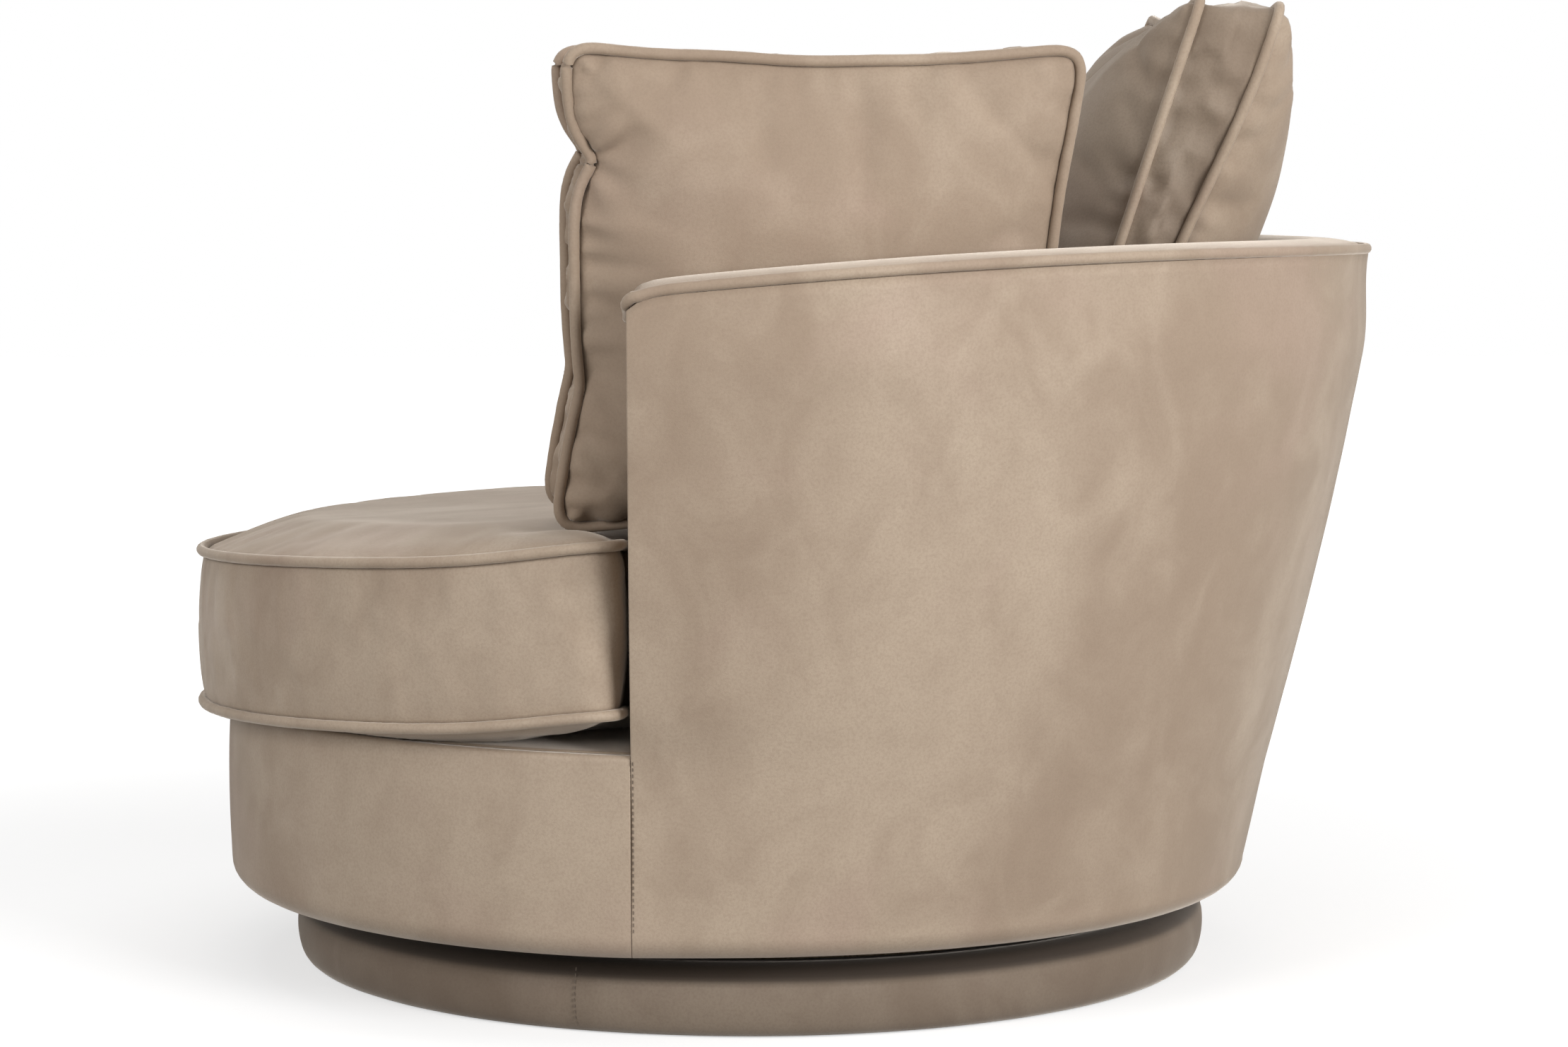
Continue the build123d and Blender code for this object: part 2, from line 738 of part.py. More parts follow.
def rail_path():
    """Points along the rail piping, from the middle of the left arm front to that of the right."""
    turn_y = arm_front + top_outer_round
    turn_radius = wall_radius(rail_height(turn_y), wadding_inset + top_outer_round)
    turn_x = sqrt(turn_radius**2 - turn_y**2)
    first = atan2(turn_y, turn_x)
    half = [Vector(turn_x - back_thickness / 2, turn_y - bead_reach, rail_height(turn_y))]
    for i in range(bend_steps):
        angle = -pi / 2 + (pi / 2 + first) * i / bend_steps
        half.append(
            Vector(turn_x + bead_reach * cos(angle), turn_y + bead_reach * sin(angle), rail_height(turn_y))
        )
    half += [rail_point(first + (pi / 2 - first) * i / rail_steps) for i in range(rail_steps + 1)]
    return half + [Vector(-p.X, p.Y, p.Z) for p in half[-2::-1]]


rail_stations = rail_path()
with BuildPart() as rail_piping:
    last = len(rail_stations) - 1
    for i, point in enumerate(rail_stations):
        run = rail_stations[min(i + 1, last)] - rail_stations[max(i - 1, 0)]
        level = Vector(0, 0, 1).cross(run)
        with BuildSketch(Plane(point, x_dir=level, z_dir=run)):
            Circle(piping_radius)
    loft(ruled=True)
write(rail_piping, "rail_piping")

# Seat cushion, T-shaped in plan, with ears in front of the arms


def seat_outline(inset, z):
    """Plan of the seat cushion at a height, drawn in by an inset."""
    front = seat_front_radius - inset
    rear = seat_rear_radius - inset
    ear_y = arm_front - seat_arm_gap - 2 * piping_radius - inset
    ear_x = sqrt(front**2 - ear_y**2)
    notch_x = sqrt(rear**2 - ear_y**2)
    with BuildSketch(Plane.XY.offset(z)) as outline:
        with BuildLine():
            ThreePointArc((-ear_x, ear_y), (0, -front), (ear_x, ear_y))
            Line((ear_x, ear_y), (notch_x, ear_y))
            ThreePointArc((notch_x, ear_y), (rear * cos(pi / 6), rear * sin(pi / 6)), (0, rear))
            ThreePointArc((0, rear), (-rear * cos(pi / 6), rear * sin(pi / 6)), (-notch_x, ear_y))
            Line((-notch_x, ear_y), (-ear_x, ear_y))
        make_face()
        for side in (-1, 1):
            notch = outline.vertices().sort_by_distance((side * notch_x, ear_y, z))[0]
            fillet(notch, seat_notch_round + inset / 3)
            fillet(outline.vertices().sort_by_distance((side * ear_x, ear_y, z))[0], seat_ear_round)
    return outline.sketch


def seat_form(inset):
    """The crowned form of the seat cushion, drawn in by an inset."""
    low = seat_under_piping_z + inset
    high = seat_top_piping_z - inset
    run = seat_crown_run
    under_profile = ((1, 1), (0.4, 0.7), (0, 0))
    under = [seat_outline(inset + run * f, low - seat_under_crown * h) for f, h in under_profile]
    border = [seat_outline(inset, low), seat_outline(inset, high)]
    crown = [seat_outline(inset + run * f, high + seat_crown * h) for f, h in ((0, 0), (0.4, 0.7), (1, 1))]
    with BuildPart() as form:
        loft(under)
        loft(border, ruled=True)
        loft(crown)
    return form


seat_outside = seat_form(0)
seat_lining = seat_form(cover_thickness)
with BuildPart() as seat_cushion_cover:
    add(seat_outside.part)
    add(seat_lining.part, mode=Mode.SUBTRACT)
write(seat_cushion_cover, "seat_cushion_cover")
seat_cushion_core = seat_form(wadding_inset)
write(seat_cushion_core, "seat_cushion_core")


def cord(outline):
    """A round piping cord along the edge of an outline, swept in two halves."""
    edge = outline.wires()[0]
    with BuildPart() as piping:
        for path in (edge.trim(0, 0.5), edge.trim(0.5, 1)):
            with BuildSketch(Plane(path @ 0, z_dir=path % 0)):
                Circle(piping_radius)
            sweep(path=path)
    return piping


cord_offset = piping_radius + layer_gap
seat_cushion_top_piping = cord(seat_outline(-cord_offset, seat_top_piping_z))
write(seat_cushion_top_piping, "seat_cushion_top_piping")
seat_cushion_bottom_piping = cord(seat_outline(-cord_offset, seat_under_piping_z))
write(seat_cushion_bottom_piping, "seat_cushion_bottom_piping")

zip_offset = layer_gap / 2
zip_face = zip_offset + zip_thickness
seat_zip_z = (seat_under_piping_z + seat_top_piping_z - zip_width) / 2
seat_zip_outside = seat_outline(-zip_face, seat_zip_z)
seat_zip_inside = seat_outline(-zip_offset, seat_zip_z)
with BuildPart() as seat_cushion_zip:
    extrude(seat_zip_outside, amount=zip_width)
    extrude(seat_zip_inside, amount=zip_width, mode=Mode.SUBTRACT)
    with BuildSketch(Plane.XY.offset(seat_zip_z)):
        with Locations((0, seat_rear_radius)):
            Rectangle(2 * zip_length, seat_rear_radius)
    extrude(amount=zip_width, mode=Mode.INTERSECT)
write(seat_cushion_zip, "seat_cushion_zip")

# Back cushions: boxed pillows with drawn-in sides, crowned on both faces
crown_profile = ((0, 0), (0.1, 0.42), (0.28, 0.76), (0.5, 0.94), (0.74, 1))


def pillow_outline(plane, width, height, inset=0.0, draw=0.0, grow=0.0):
    """Outline of a pillow in a plane. draw runs from 0 at the border to 1 at the middle of a face."""
    w = width / 2 - inset - draw * min(width, height) / 2
    h = height / 2 - inset - draw * min(width, height) / 2
    dip = cushion_dip * (1 - 3.2 * draw)
    with BuildSketch(plane) as outline:
        with BuildLine():
            ThreePointArc((-w, -h), (0, -h + dip), (w, -h))
            ThreePointArc((w, -h), (w - dip, 0), (w, h))
            ThreePointArc((w, h), (0, h - dip), (-w, h))
            ThreePointArc((-w, h), (-w + dip, 0), (-w, -h))
        make_face()
        fillet(outline.vertices(), cushion_corner - inset)
        if grow:
            offset(amount=grow)
    return outline.sketch


def pillow_form(plane, width, height, front_crown, back_crown, inset):
    """The plump form of a pillow, drawn in by an inset."""
    half = cushion_border / 2 - inset
    front = [
        pillow_outline(plane.offset(half + front_crown * h), width, height, inset, f) for f, h in crown_profile
    ]
    back = [
        pillow_outline(plane.offset(-half - back_crown * h), width, height, inset, f) for f, h in crown_profile
    ]
    with BuildPart() as form:
        loft([back[0], front[0]], ruled=True)
        loft(front)
        loft(back[::-1])
    return form


def back_cushion(name, direction, reach, sink, lean, width, height, front_crown, back_crown):
    """Writes one loose back cushion, leaning outwards in a direction about the swivel axis."""
    out = Vector(cos(radians(direction)), sin(radians(direction)), 0)
    normal = out * -cos(radians(lean)) + Vector(0, 0, sin(radians(lean)))
    low_corner = (height / 2 + 2 * piping_radius) * cos(radians(lean))
    low_edge = low_corner + cushion_border / 2 * sin(radians(lean))
    centre = out * reach + Vector(0, 0, seat_top_z - sink + low_edge)
    plane = Plane(centre, x_dir=(out.Y, -out.X, 0), z_dir=normal)
    outside = pillow_form(plane, width, height, front_crown, back_crown, 0)
    lining = pillow_form(plane, width, height, front_crown, back_crown, cover_thickness)
    with BuildPart() as cover:
        add(outside.part)
        add(lining.part, mode=Mode.SUBTRACT)
    write(cover, f"{name}_cover")
    filling = pillow_form(plane, width, height, front_crown, back_crown, wadding_inset)
    write(filling, f"{name}_filling")
    cords = []
    for side in (-1, 1):
        seam_plane = plane.offset(side * cushion_border / 2)
        cords.append(cord(pillow_outline(seam_plane, width, height, grow=cord_offset)))
    with BuildPart() as pipings:
        for piping in cords:
            add(piping.part)
    write(pipings, f"{name}_pipings")
    zip_plane = plane.offset(-zip_width / 2)
    zip_outside = pillow_outline(zip_plane, width, height, grow=zip_face)
    zip_inside = pillow_outline(zip_plane, width, height, grow=zip_offset)
    with BuildPart() as zip_tape:
        extrude(zip_outside, amount=zip_width)
        extrude(zip_inside, amount=zip_width, mode=Mode.SUBTRACT)
        with BuildSketch(zip_plane):
            with Locations((0, -height / 2)):
                Rectangle(zip_length, height / 2)
        extrude(amount=zip_width, mode=Mode.INTERSECT)
    write(zip_tape, f"{name}_zip")


side_sizes = (side_cushion_width, side_cushion_height, side_cushion_front_crown, side_cushion_back_crown)
rear_sizes = (rear_cushion_width, rear_cushion_height, rear_cushion_front_crown, rear_cushion_back_crown)
side_place = (side_cushion_reach, side_cushion_sink, side_cushion_lean)
rear_place = (rear_cushion_reach, rear_cushion_sink, rear_cushion_lean)
back_cushion("left_cushion", side_cushion_turn, *side_place, *side_sizes)
back_cushion("right_cushion", 180 - side_cushion_turn, *side_place, *side_sizes)
back_cushion("rear_cushion", 90, *rear_place, *rear_sizes)
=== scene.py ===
"""Round swivel armchair in taupe velvet: the upholstery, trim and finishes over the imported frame."""

from __future__ import annotations

import json
import logging
import math
from dataclasses import dataclass, field
from enum import Enum
from typing import Callable, Sequence, Union

import bmesh
import bpy
import numpy as np
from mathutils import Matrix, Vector, noise
from mathutils.bvhtree import BVHTree
from mathutils.kdtree import KDTree

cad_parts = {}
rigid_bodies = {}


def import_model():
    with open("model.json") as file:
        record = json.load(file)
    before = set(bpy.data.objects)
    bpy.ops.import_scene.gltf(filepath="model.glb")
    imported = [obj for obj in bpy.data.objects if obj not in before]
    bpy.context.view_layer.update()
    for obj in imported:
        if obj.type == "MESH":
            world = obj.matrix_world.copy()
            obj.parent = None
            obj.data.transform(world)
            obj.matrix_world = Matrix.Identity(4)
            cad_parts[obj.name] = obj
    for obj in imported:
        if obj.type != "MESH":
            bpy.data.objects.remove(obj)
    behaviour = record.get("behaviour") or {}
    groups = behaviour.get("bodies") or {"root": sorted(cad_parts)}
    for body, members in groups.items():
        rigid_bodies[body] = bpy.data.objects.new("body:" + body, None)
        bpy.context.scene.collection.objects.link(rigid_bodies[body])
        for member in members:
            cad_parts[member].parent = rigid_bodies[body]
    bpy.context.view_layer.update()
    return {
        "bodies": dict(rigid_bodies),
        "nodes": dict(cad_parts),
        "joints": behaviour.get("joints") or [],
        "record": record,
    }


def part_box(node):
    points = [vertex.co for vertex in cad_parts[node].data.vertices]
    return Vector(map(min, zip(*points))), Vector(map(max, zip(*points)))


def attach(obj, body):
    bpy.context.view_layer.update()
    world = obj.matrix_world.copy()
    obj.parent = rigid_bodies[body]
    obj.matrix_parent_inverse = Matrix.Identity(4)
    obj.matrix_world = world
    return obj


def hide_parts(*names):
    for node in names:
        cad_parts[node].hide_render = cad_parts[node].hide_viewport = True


LOG = logging.getLogger("armchair")
MM = 0.001
FILL_FRAMES = 24
COVER_CLOTH = {
    "quality": 6,
    "mass": 0.25,
    "tension_stiffness": 18,
    "compression_stiffness": 18,
    "shear_stiffness": 6,
    "bending_stiffness": 1.2,
    "air_damping": 3,
    "pin_stiffness": 1.0,
    "use_pressure": True,
}

Colour = tuple[float, float, float]
Loop = list[tuple[float, float]]


class Body(str, Enum):
    """Rigid bodies of the chair."""

    BASE = "base"
    SEAT_FRAME = "seat_frame"
    SEAT_CUSHION = "seat_cushion"
    LEFT = "left_cushion"
    RIGHT = "right_cushion"
    REAR = "rear_cushion"


class Facing(Enum):
    """Which way a wrapped panel looks: round the back of the chair or round its front."""

    BACK = 1.0
    FRONT = -1.0


class Value:
    """A shader socket that takes part in Python expressions."""

    def __init__(self, graph: "ShaderGraph", socket: bpy.types.NodeSocket) -> None:
        """Keeps the graph and the socket."""
        self.graph = graph
        self.socket = socket

    def _maths(self, operation: str, first: "Number", second: "Number") -> "Value":
        """Adds one Math node and returns its result."""
        made = self.graph.node("ShaderNodeMath", {"operation": operation}, {0: first, 1: second})
        return Value(self.graph, made.outputs[0])

    def __add__(self, other: "Number") -> "Value":
        """Sum."""
        return self._maths("ADD", self, other)

    __radd__ = __add__

    def __sub__(self, other: "Number") -> "Value":
        """Difference."""
        return self._maths("SUBTRACT", self, other)

    def __rsub__(self, other: "Number") -> "Value":
        """Difference with the number first."""
        return self._maths("SUBTRACT", other, self)

    def __mul__(self, other: "Number") -> "Value":
        """Product."""
        return self._maths("MULTIPLY", self, other)

    __rmul__ = __mul__

    def __pow__(self, other: "Number") -> "Value":
        """Power."""
        return self._maths("POWER", self, other)

    def larger(self, other: "Number") -> "Value":
        """The larger of two values."""
        return self._maths("MAXIMUM", self, other)

    def ramp(self, low: float, high: float) -> "Value":
        """Smooth step of this value between two levels.

        Args:
            low: level that gives 0.
            high: level that gives 1.

        Returns:
            The stepped value.
        """
        made = self.graph.node(
            "ShaderNodeMapRange",
            {"interpolation_type": "SMOOTHSTEP"},
            {"Value": self, "From Min": low, "From Max": high},
        )
        return Value(self.graph, made.outputs[0])


Number = Union[float, Value]


class ShaderGraph:
    """One material's nodes, added through a single method."""

    def __init__(self, name: str) -> None:
        """Starts an empty material of this name.

        Args:
            name: the material's name.
        """
        self.material = bpy.data.materials.new(name)
        self.material.use_nodes = True
        self.tree = self.material.node_tree
        self.tree.nodes.clear()
        coordinates = self.node("ShaderNodeTexCoord")
        self.place = coordinates.outputs["Object"]

    def node(
        self,
        kind: str,
        settings: dict[str, object] | None = None,
        sockets: dict[object, object] | None = None,
    ) -> bpy.types.Node:
        """Adds a node.

        Args:
            kind: Blender's node type.
            settings: properties of the node, set first.
            sockets: numbers, colours or links for its inputs, by name or number.

        Returns:
            The new node.
        """
        made = self.tree.nodes.new(kind)
        for key, setting in (settings or {}).items():
            setattr(made, key, setting)
        for key, given in (sockets or {}).items():
            if isinstance(given, Value):
                given = given.socket
            if isinstance(given, bpy.types.NodeSocket):
                self.tree.links.new(given, made.inputs[key])
            else:
                made.inputs[key].default_value = given
        return made

    def stretched(self, scale: Colour) -> bpy.types.NodeSocket:
        """Object coordinates, stretched along the axes."""
        return self.node("ShaderNodeMapping", None, {"Vector": self.place, "Scale": scale}).outputs[0]

    def cloud(
        self, scale: float, detail: float = 2.0, stretch: Colour = (1, 1, 1), twist: float = 0.0
    ) -> Value:
        """Soft noise between 0 and 1.

        Args:
            scale: patches per metre.
            detail: octaves.
            stretch: scale along each axis.
            twist: distortion.

        Returns:
            The noise value.
        """
        made = self.node(
            "ShaderNodeTexNoise",
            None,
            {"Vector": self.stretched(stretch), "Scale": scale, "Detail": detail, "Distortion": twist},
        )
        return Value(self, made.outputs["Fac"])

    def attribute(self, name: str) -> Value:
        """A number stored on the mesh."""
        return Value(self, self.node("ShaderNodeAttribute", {"attribute_name": name}).outputs["Fac"])

    def mix(self, share: Number, first: object, second: object) -> bpy.types.NodeSocket:
        """Mixes two colours by a share.

        Args:
            share: how much of the second colour.
            first: colour or socket.
            second: colour or socket.

        Returns:
            The mixed colour's socket.
        """
        made = self.node(
            "ShaderNodeMix", {"data_type": "RGBA"}, {"Factor": share, 6: _rgba(first), 7: _rgba(second)}
        )
        return made.outputs[2]

    def bump(self, height: Value, depth: float, strength: float) -> bpy.types.NodeSocket:
        """Normal from a height value.

        Args:
            height: the height value.
            depth: distance that a height of 1 stands for.
            strength: how strongly it shows.

        Returns:
            The normal's socket.
        """
        made = self.node(
            "ShaderNodeBump", None, {"Height": height, "Distance": depth, "Strength": strength}
        )
        return made.outputs[0]

    def surface(self, sockets: dict[object, object]) -> bpy.types.Material:
        """Ends the graph in one Principled shader.

        Args:
            sockets: the shader's inputs.

        Returns:
            The finished material.
        """
        shader = self.node("ShaderNodeBsdfPrincipled", None, sockets)
        self.node("ShaderNodeOutputMaterial", None, {"Surface": shader.outputs[0]})
        return self.material


def _rgba(colour: object) -> object:
    """Adds a full alpha to a plain colour and leaves a socket alone."""
    return (*colour, 1.0) if isinstance(colour, tuple) and len(colour) == 3 else colour


@dataclass(frozen=True)
class Velvet:
    """Short plush pile that shades light and dark where a hand has brushed it."""

    name: str = "taupe_velvet"
    body: Colour = (0.345, 0.268, 0.196)
    shade: Colour = (0.232, 0.166, 0.120)
    bloom: Colour = (0.430, 0.345, 0.264)
    blush: Colour = (0.355, 0.262, 0.204)
    sheen: float = 0.6

    def material(self) -> bpy.types.Material:
        """Builds the velvet.

        Returns:
            The material.
        """
        graph = ShaderGraph(self.name)
        swathe = graph.cloud(3.4, 4.0, (1.0, 1.0, 0.62), 0.7)
        stroke = graph.cloud(13.0, 6.0, (1.0, 1.0, 0.8), 0.8)
        fleck = graph.cloud(420.0, 2.0)
        pile = graph.cloud(1500.0, 2.0)
        nap_and_painted_shade = swathe * 0.6 + stroke * 0.4
        brushed = graph.mix(nap_and_painted_shade.ramp(0.36, 0.66), self.shade, self.bloom)
        settled = graph.mix(0.5, brushed, self.body)
        flush = graph.cloud(5.1, 3.0, twist=0.4).ramp(0.5, 0.72)
        warmed = graph.mix(flush * 0.55, settled, self.blush)
        crushed = graph.cloud(58.0, 7.0, twist=0.5).ramp(0.42, 0.66)
        ruffled = graph.mix(crushed * 0.08, warmed, self.shade)
        speckled = graph.mix(fleck.ramp(0.35, 0.75) * 0.28, ruffled, self.shade)
        # Painted shade: the mesh's painted-shade value darkens the velvet towards near-black in seams, in
        # the gap above the plinth and on shaded cushion faces.
        painted_shade = graph.attribute("painted_shade")
        dark = tuple(0.16 * part for part in self.shade)
        coloured = graph.mix(painted_shade * 0.75, speckled, dark)
        height = pile * 0.5 + fleck * 0.3 + stroke * 1.2
        return graph.surface(
            {
                "Base Color": coloured,
                "Roughness": 0.76 - nap_and_painted_shade.ramp(0.4, 0.66) * 0.2,
                "Normal": graph.bump(height, 0.9 * MM, 0.4),
                "Sheen Weight": self.sheen,
                "Sheen Roughness": 0.36,
                "Sheen Tint": (0.95, 0.87, 0.78, 1.0),
                "Specular IOR Level": 0.25,
            }
        )


@dataclass(frozen=True)
class Plywood:
    """Birch ply: pale faces with long grain and darker glue lines on the cut edges."""

    name: str = "birch_ply"
    pale: Colour = (0.60, 0.44, 0.27)
    dark: Colour = (0.36, 0.23, 0.12)
    ply: float = 1.5 * MM

    def material(self) -> bpy.types.Material:
        """Builds the plywood.

        Returns:
            The material.
        """
        graph = ShaderGraph(self.name)
        grain = graph.cloud(9.0, 8.0, (1.0, 14.0, 14.0), 1.2)
        pore = graph.cloud(160.0, 3.0, (0.12, 1.0, 1.0))
        plies = graph.node(
            "ShaderNodeTexWave",
            {"wave_type": "BANDS", "bands_direction": "Z"},
            {"Vector": graph.place, "Scale": 0.31 / self.ply / 2, "Distortion": 0.4},
        )
        lines = Value(graph, plies.outputs["Fac"]).ramp(0.72, 0.98)
        faced = graph.mix(grain.ramp(0.42, 0.7), self.pale, self.dark)
        edged = graph.mix(lines * 0.35, faced, self.dark)
        return graph.surface(
            {
                "Base Color": edged,
                "Roughness": 0.5 + pore * 0.3,
                "Normal": graph.bump(grain * 0.6 + pore, 0.3 * MM, 0.4),
            }
        )


@dataclass(frozen=True)
class Metal:
    """Zinc plated or black lacquered steel with rolling marks and a worn bloom."""

    name: str
    bright: Colour
    dull: Colour
    metallic: float
    roughness: float

    def material(self) -> bpy.types.Material:
        """Builds the metal.

        Returns:
            The material.
        """
        graph = ShaderGraph(self.name)
        bloom = graph.cloud(60.0, 5.0, twist=0.6)
        drawn = graph.cloud(240.0, 3.0, (1.0, 0.08, 0.08))
        return graph.surface(
            {
                "Base Color": graph.mix(bloom.ramp(0.4, 0.68), self.bright, self.dull),
                "Metallic": self.metallic - bloom.ramp(0.6, 0.8) * 0.2,
                "Roughness": self.roughness + drawn * 0.2,
                "Normal": graph.bump(drawn + bloom * 0.5, 0.1 * MM, 0.3),
            }
        )


@dataclass(frozen=True)
class Moulding:
    """Moulded nylon, or a plain woven or felted cloth, with a fine surface grain."""

    name: str
    body: Colour
    grain: float = 900.0
    depth: float = 0.2 * MM
    roughness: float = 0.55

    def material(self) -> bpy.types.Material:
        """Builds the finish.

        Returns:
            The material.
        """
        graph = ShaderGraph(self.name)
        fine = graph.cloud(self.grain, 3.0)
        worn = graph.cloud(24.0, 3.0)
        pale = tuple(min(1.0, 1.6 * part + 0.01) for part in self.body)
        return graph.surface(
            {
                "Base Color": graph.mix(worn.ramp(0.45, 0.75) * 0.5, self.body, pale),
                "Roughness": self.roughness + fine * 0.3,
                "Normal": graph.bump(fine, self.depth, 0.5),
            }
        )


@dataclass(frozen=True)
class StudioFloor:
    """White paper sweep that reads as white and still takes the chair's shadow."""

    name: str = "paper_floor"
    paper: float = 0.6
    bounce: float = 0.34
    lift: float = 0.55
    far_lift: float = 0.95

    def material(self) -> bpy.types.Material:
        """Builds the paper.

        Returns:
            The material.
        """
        graph = ShaderGraph(self.name)
        tooth = graph.cloud(40.0, 4.0)
        shade = graph.mix(tooth, (self.paper,) * 3, (self.paper - 0.02,) * 3)
        away = graph.node("ShaderNodeVectorMath", {"operation": "LENGTH"}, {0: graph.place})
        far = Value(graph, away.outputs["Value"]).ramp(0.9, 2.6)
        light = graph.mix(far, (self.lift,) * 3, (self.far_lift,) * 3)
        paper = graph.node("ShaderNodeBsdfDiffuse", None, {"Color": shade})
        dull = graph.node("ShaderNodeBsdfDiffuse", None, {"Color": (self.bounce,) * 3 + (1.0,)})
        glow = graph.node("ShaderNodeEmission", None, {"Color": light})
        both = graph.node("ShaderNodeAddShader", None, {0: paper.outputs[0], 1: glow.outputs[0]})
        path = graph.node("ShaderNodeLightPath").outputs
        seen = Value(graph, path["Is Camera Ray"])
        for kind in ("Is Glossy Ray", "Is Transmission Ray"):
            seen = seen.larger(Value(graph, path[kind]))
        chosen = graph.node("ShaderNodeMixShader", None, {0: seen, 1: dull.outputs[0], 2: both.outputs[0]})
        graph.node("ShaderNodeOutputMaterial", None, {"Surface": chosen.outputs[0]})
        return graph.material


def make_piece(
    name: str,
    vertices: Sequence[Sequence[float]],
    faces: Sequence[Sequence[int]],
    material: bpy.types.Material,
    painted_shade: Sequence[float] | None = None,
) -> bpy.types.Object:
    """Makes a smooth mesh object at the origin, with its faces turned outwards.

    Args:
        name: the piece's name.
        vertices: points in metres.
        faces: vertex numbers of each face.
        material: the finish.
        painted_shade: how much painted shade each vertex takes, from 0 to 1; in a seam it is how deep in
            the seam the vertex lies.

    Returns:
        The object.
    """
    mesh = bpy.data.meshes.new(name)
    mesh.from_pydata([tuple(v) for v in vertices], [], [tuple(f) for f in faces])
    mesh.validate()
    shell = bmesh.new()
    shell.from_mesh(mesh)
    bmesh.ops.recalc_face_normals(shell, faces=shell.faces)
    shell.to_mesh(mesh)
    shell.free()
    mesh.shade_smooth()
    if painted_shade is not None:
        layer = mesh.attributes.new("painted_shade", "FLOAT", "POINT")
        layer.data.foreach_set("value", np.asarray(painted_shade, np.float32))
    mesh.materials.append(material)
    made = bpy.data.objects.new(name, mesh)
    bpy.context.scene.collection.objects.link(made)
    return made


def settle(
    piece: bpy.types.Object, body: Body, nodes: Sequence[str] = ()
) -> None:
    """Puts a finished piece on its body.

    Args:
        piece: the piece.
        body: the body that it rides on.
        nodes: solids that it stands for.
    """
    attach(piece, body.value)
    if nodes:
        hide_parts(*nodes)
    LOG.info("%s: %d faces on %s", piece.name, len(piece.data.polygons), body.value)


def smooth_step(value: float, low: float, high: float) -> float:
    """Smooth step from 0 at one level to 1 at another."""
    share = min(1.0, max(0.0, (value - low) / (high - low)))
    return share * share * (3 - 2 * share)


def ripple(point: Vector, scale: float, seed: float) -> float:
    """Seeded smooth noise at a point, from about -1 to 1."""
    return noise.noise(Vector((point.x * scale + seed, point.y * scale - seed, point.z * scale + 2 * seed)))


def lofted(rows: int, count: int, closed: bool) -> list[list[int]]:
    """Faces between closed sections that follow one another.

    Args:
        rows: number of sections.
        count: points in each section.
        closed: whether the last section joins the first.

    Returns:
        The faces, with both ends capped where the run is open.
    """
    faces = []
    for i in range(rows if closed else rows - 1):
        j = (i + 1) % rows
        for k in range(count):
            m = (k + 1) % count
            faces.append([i * count + k, i * count + m, j * count + m, j * count + k])
    if not closed:
        faces.append(list(range(count)))
        faces.append([(rows - 1) * count + k for k in range(count)])
    return faces


def tube(
    path: Sequence[Vector], radius: float, closed: bool, sides: int = 12, wobble: float = 0.05
) -> tuple[list[Vector], list[list[int]]]:
    """A round cord along a path, a little uneven.

    Args:
        path: points along the cord.
        radius: the cord's radius.
        closed: whether the path is a loop.
        sides: faces round the cord.
        wobble: share by which the radius varies.

    Returns:
        Points and faces.
    """
    count = len(path)
    points: list[Vector] = []
    up = Vector((0.13, 0.21, 0.97))
    for i, here in enumerate(path):
        after = path[(i + 1) % count] if closed else path[min(i + 1, count - 1)]
        before = path[i - 1] if closed or i else path[0]
        run = (after - before).normalized()
        side = run.cross(up).normalized()
        rise = side.cross(run)
        girth = radius * (1 + wobble * ripple(here, 70.0, 3.1) + 0.5 * wobble * ripple(here, 240.0, 5.7))
        for k in range(sides):
            turn = 2 * math.pi * k / sides
            points.append(here + (side * math.cos(turn) + rise * math.sin(turn)) * girth)
    return points, lofted(count, sides, closed)


def resample(path: Sequence[Vector], step: float, closed: bool) -> list[Vector]:
    """Spaces points evenly along a path.

    Args:
        path: the points to follow.
        step: distance wanted between the new points.
        closed: whether the path is a loop.

    Returns:
        The new points.
    """
    line = np.array([tuple(p) for p in path] + ([tuple(path[0])] if closed else []))
    lengths = np.concatenate([[0.0], np.cumsum(np.linalg.norm(np.diff(line, axis=0), axis=1))])
    count = max(8, round(lengths[-1] / step))
    marks = np.linspace(0.0, lengths[-1], count + 1)
    if closed:
        marks = marks[:-1]
    return [Vector([np.interp(m, lengths, line[:, axis]) for axis in range(line.shape[1])]) for m in marks]


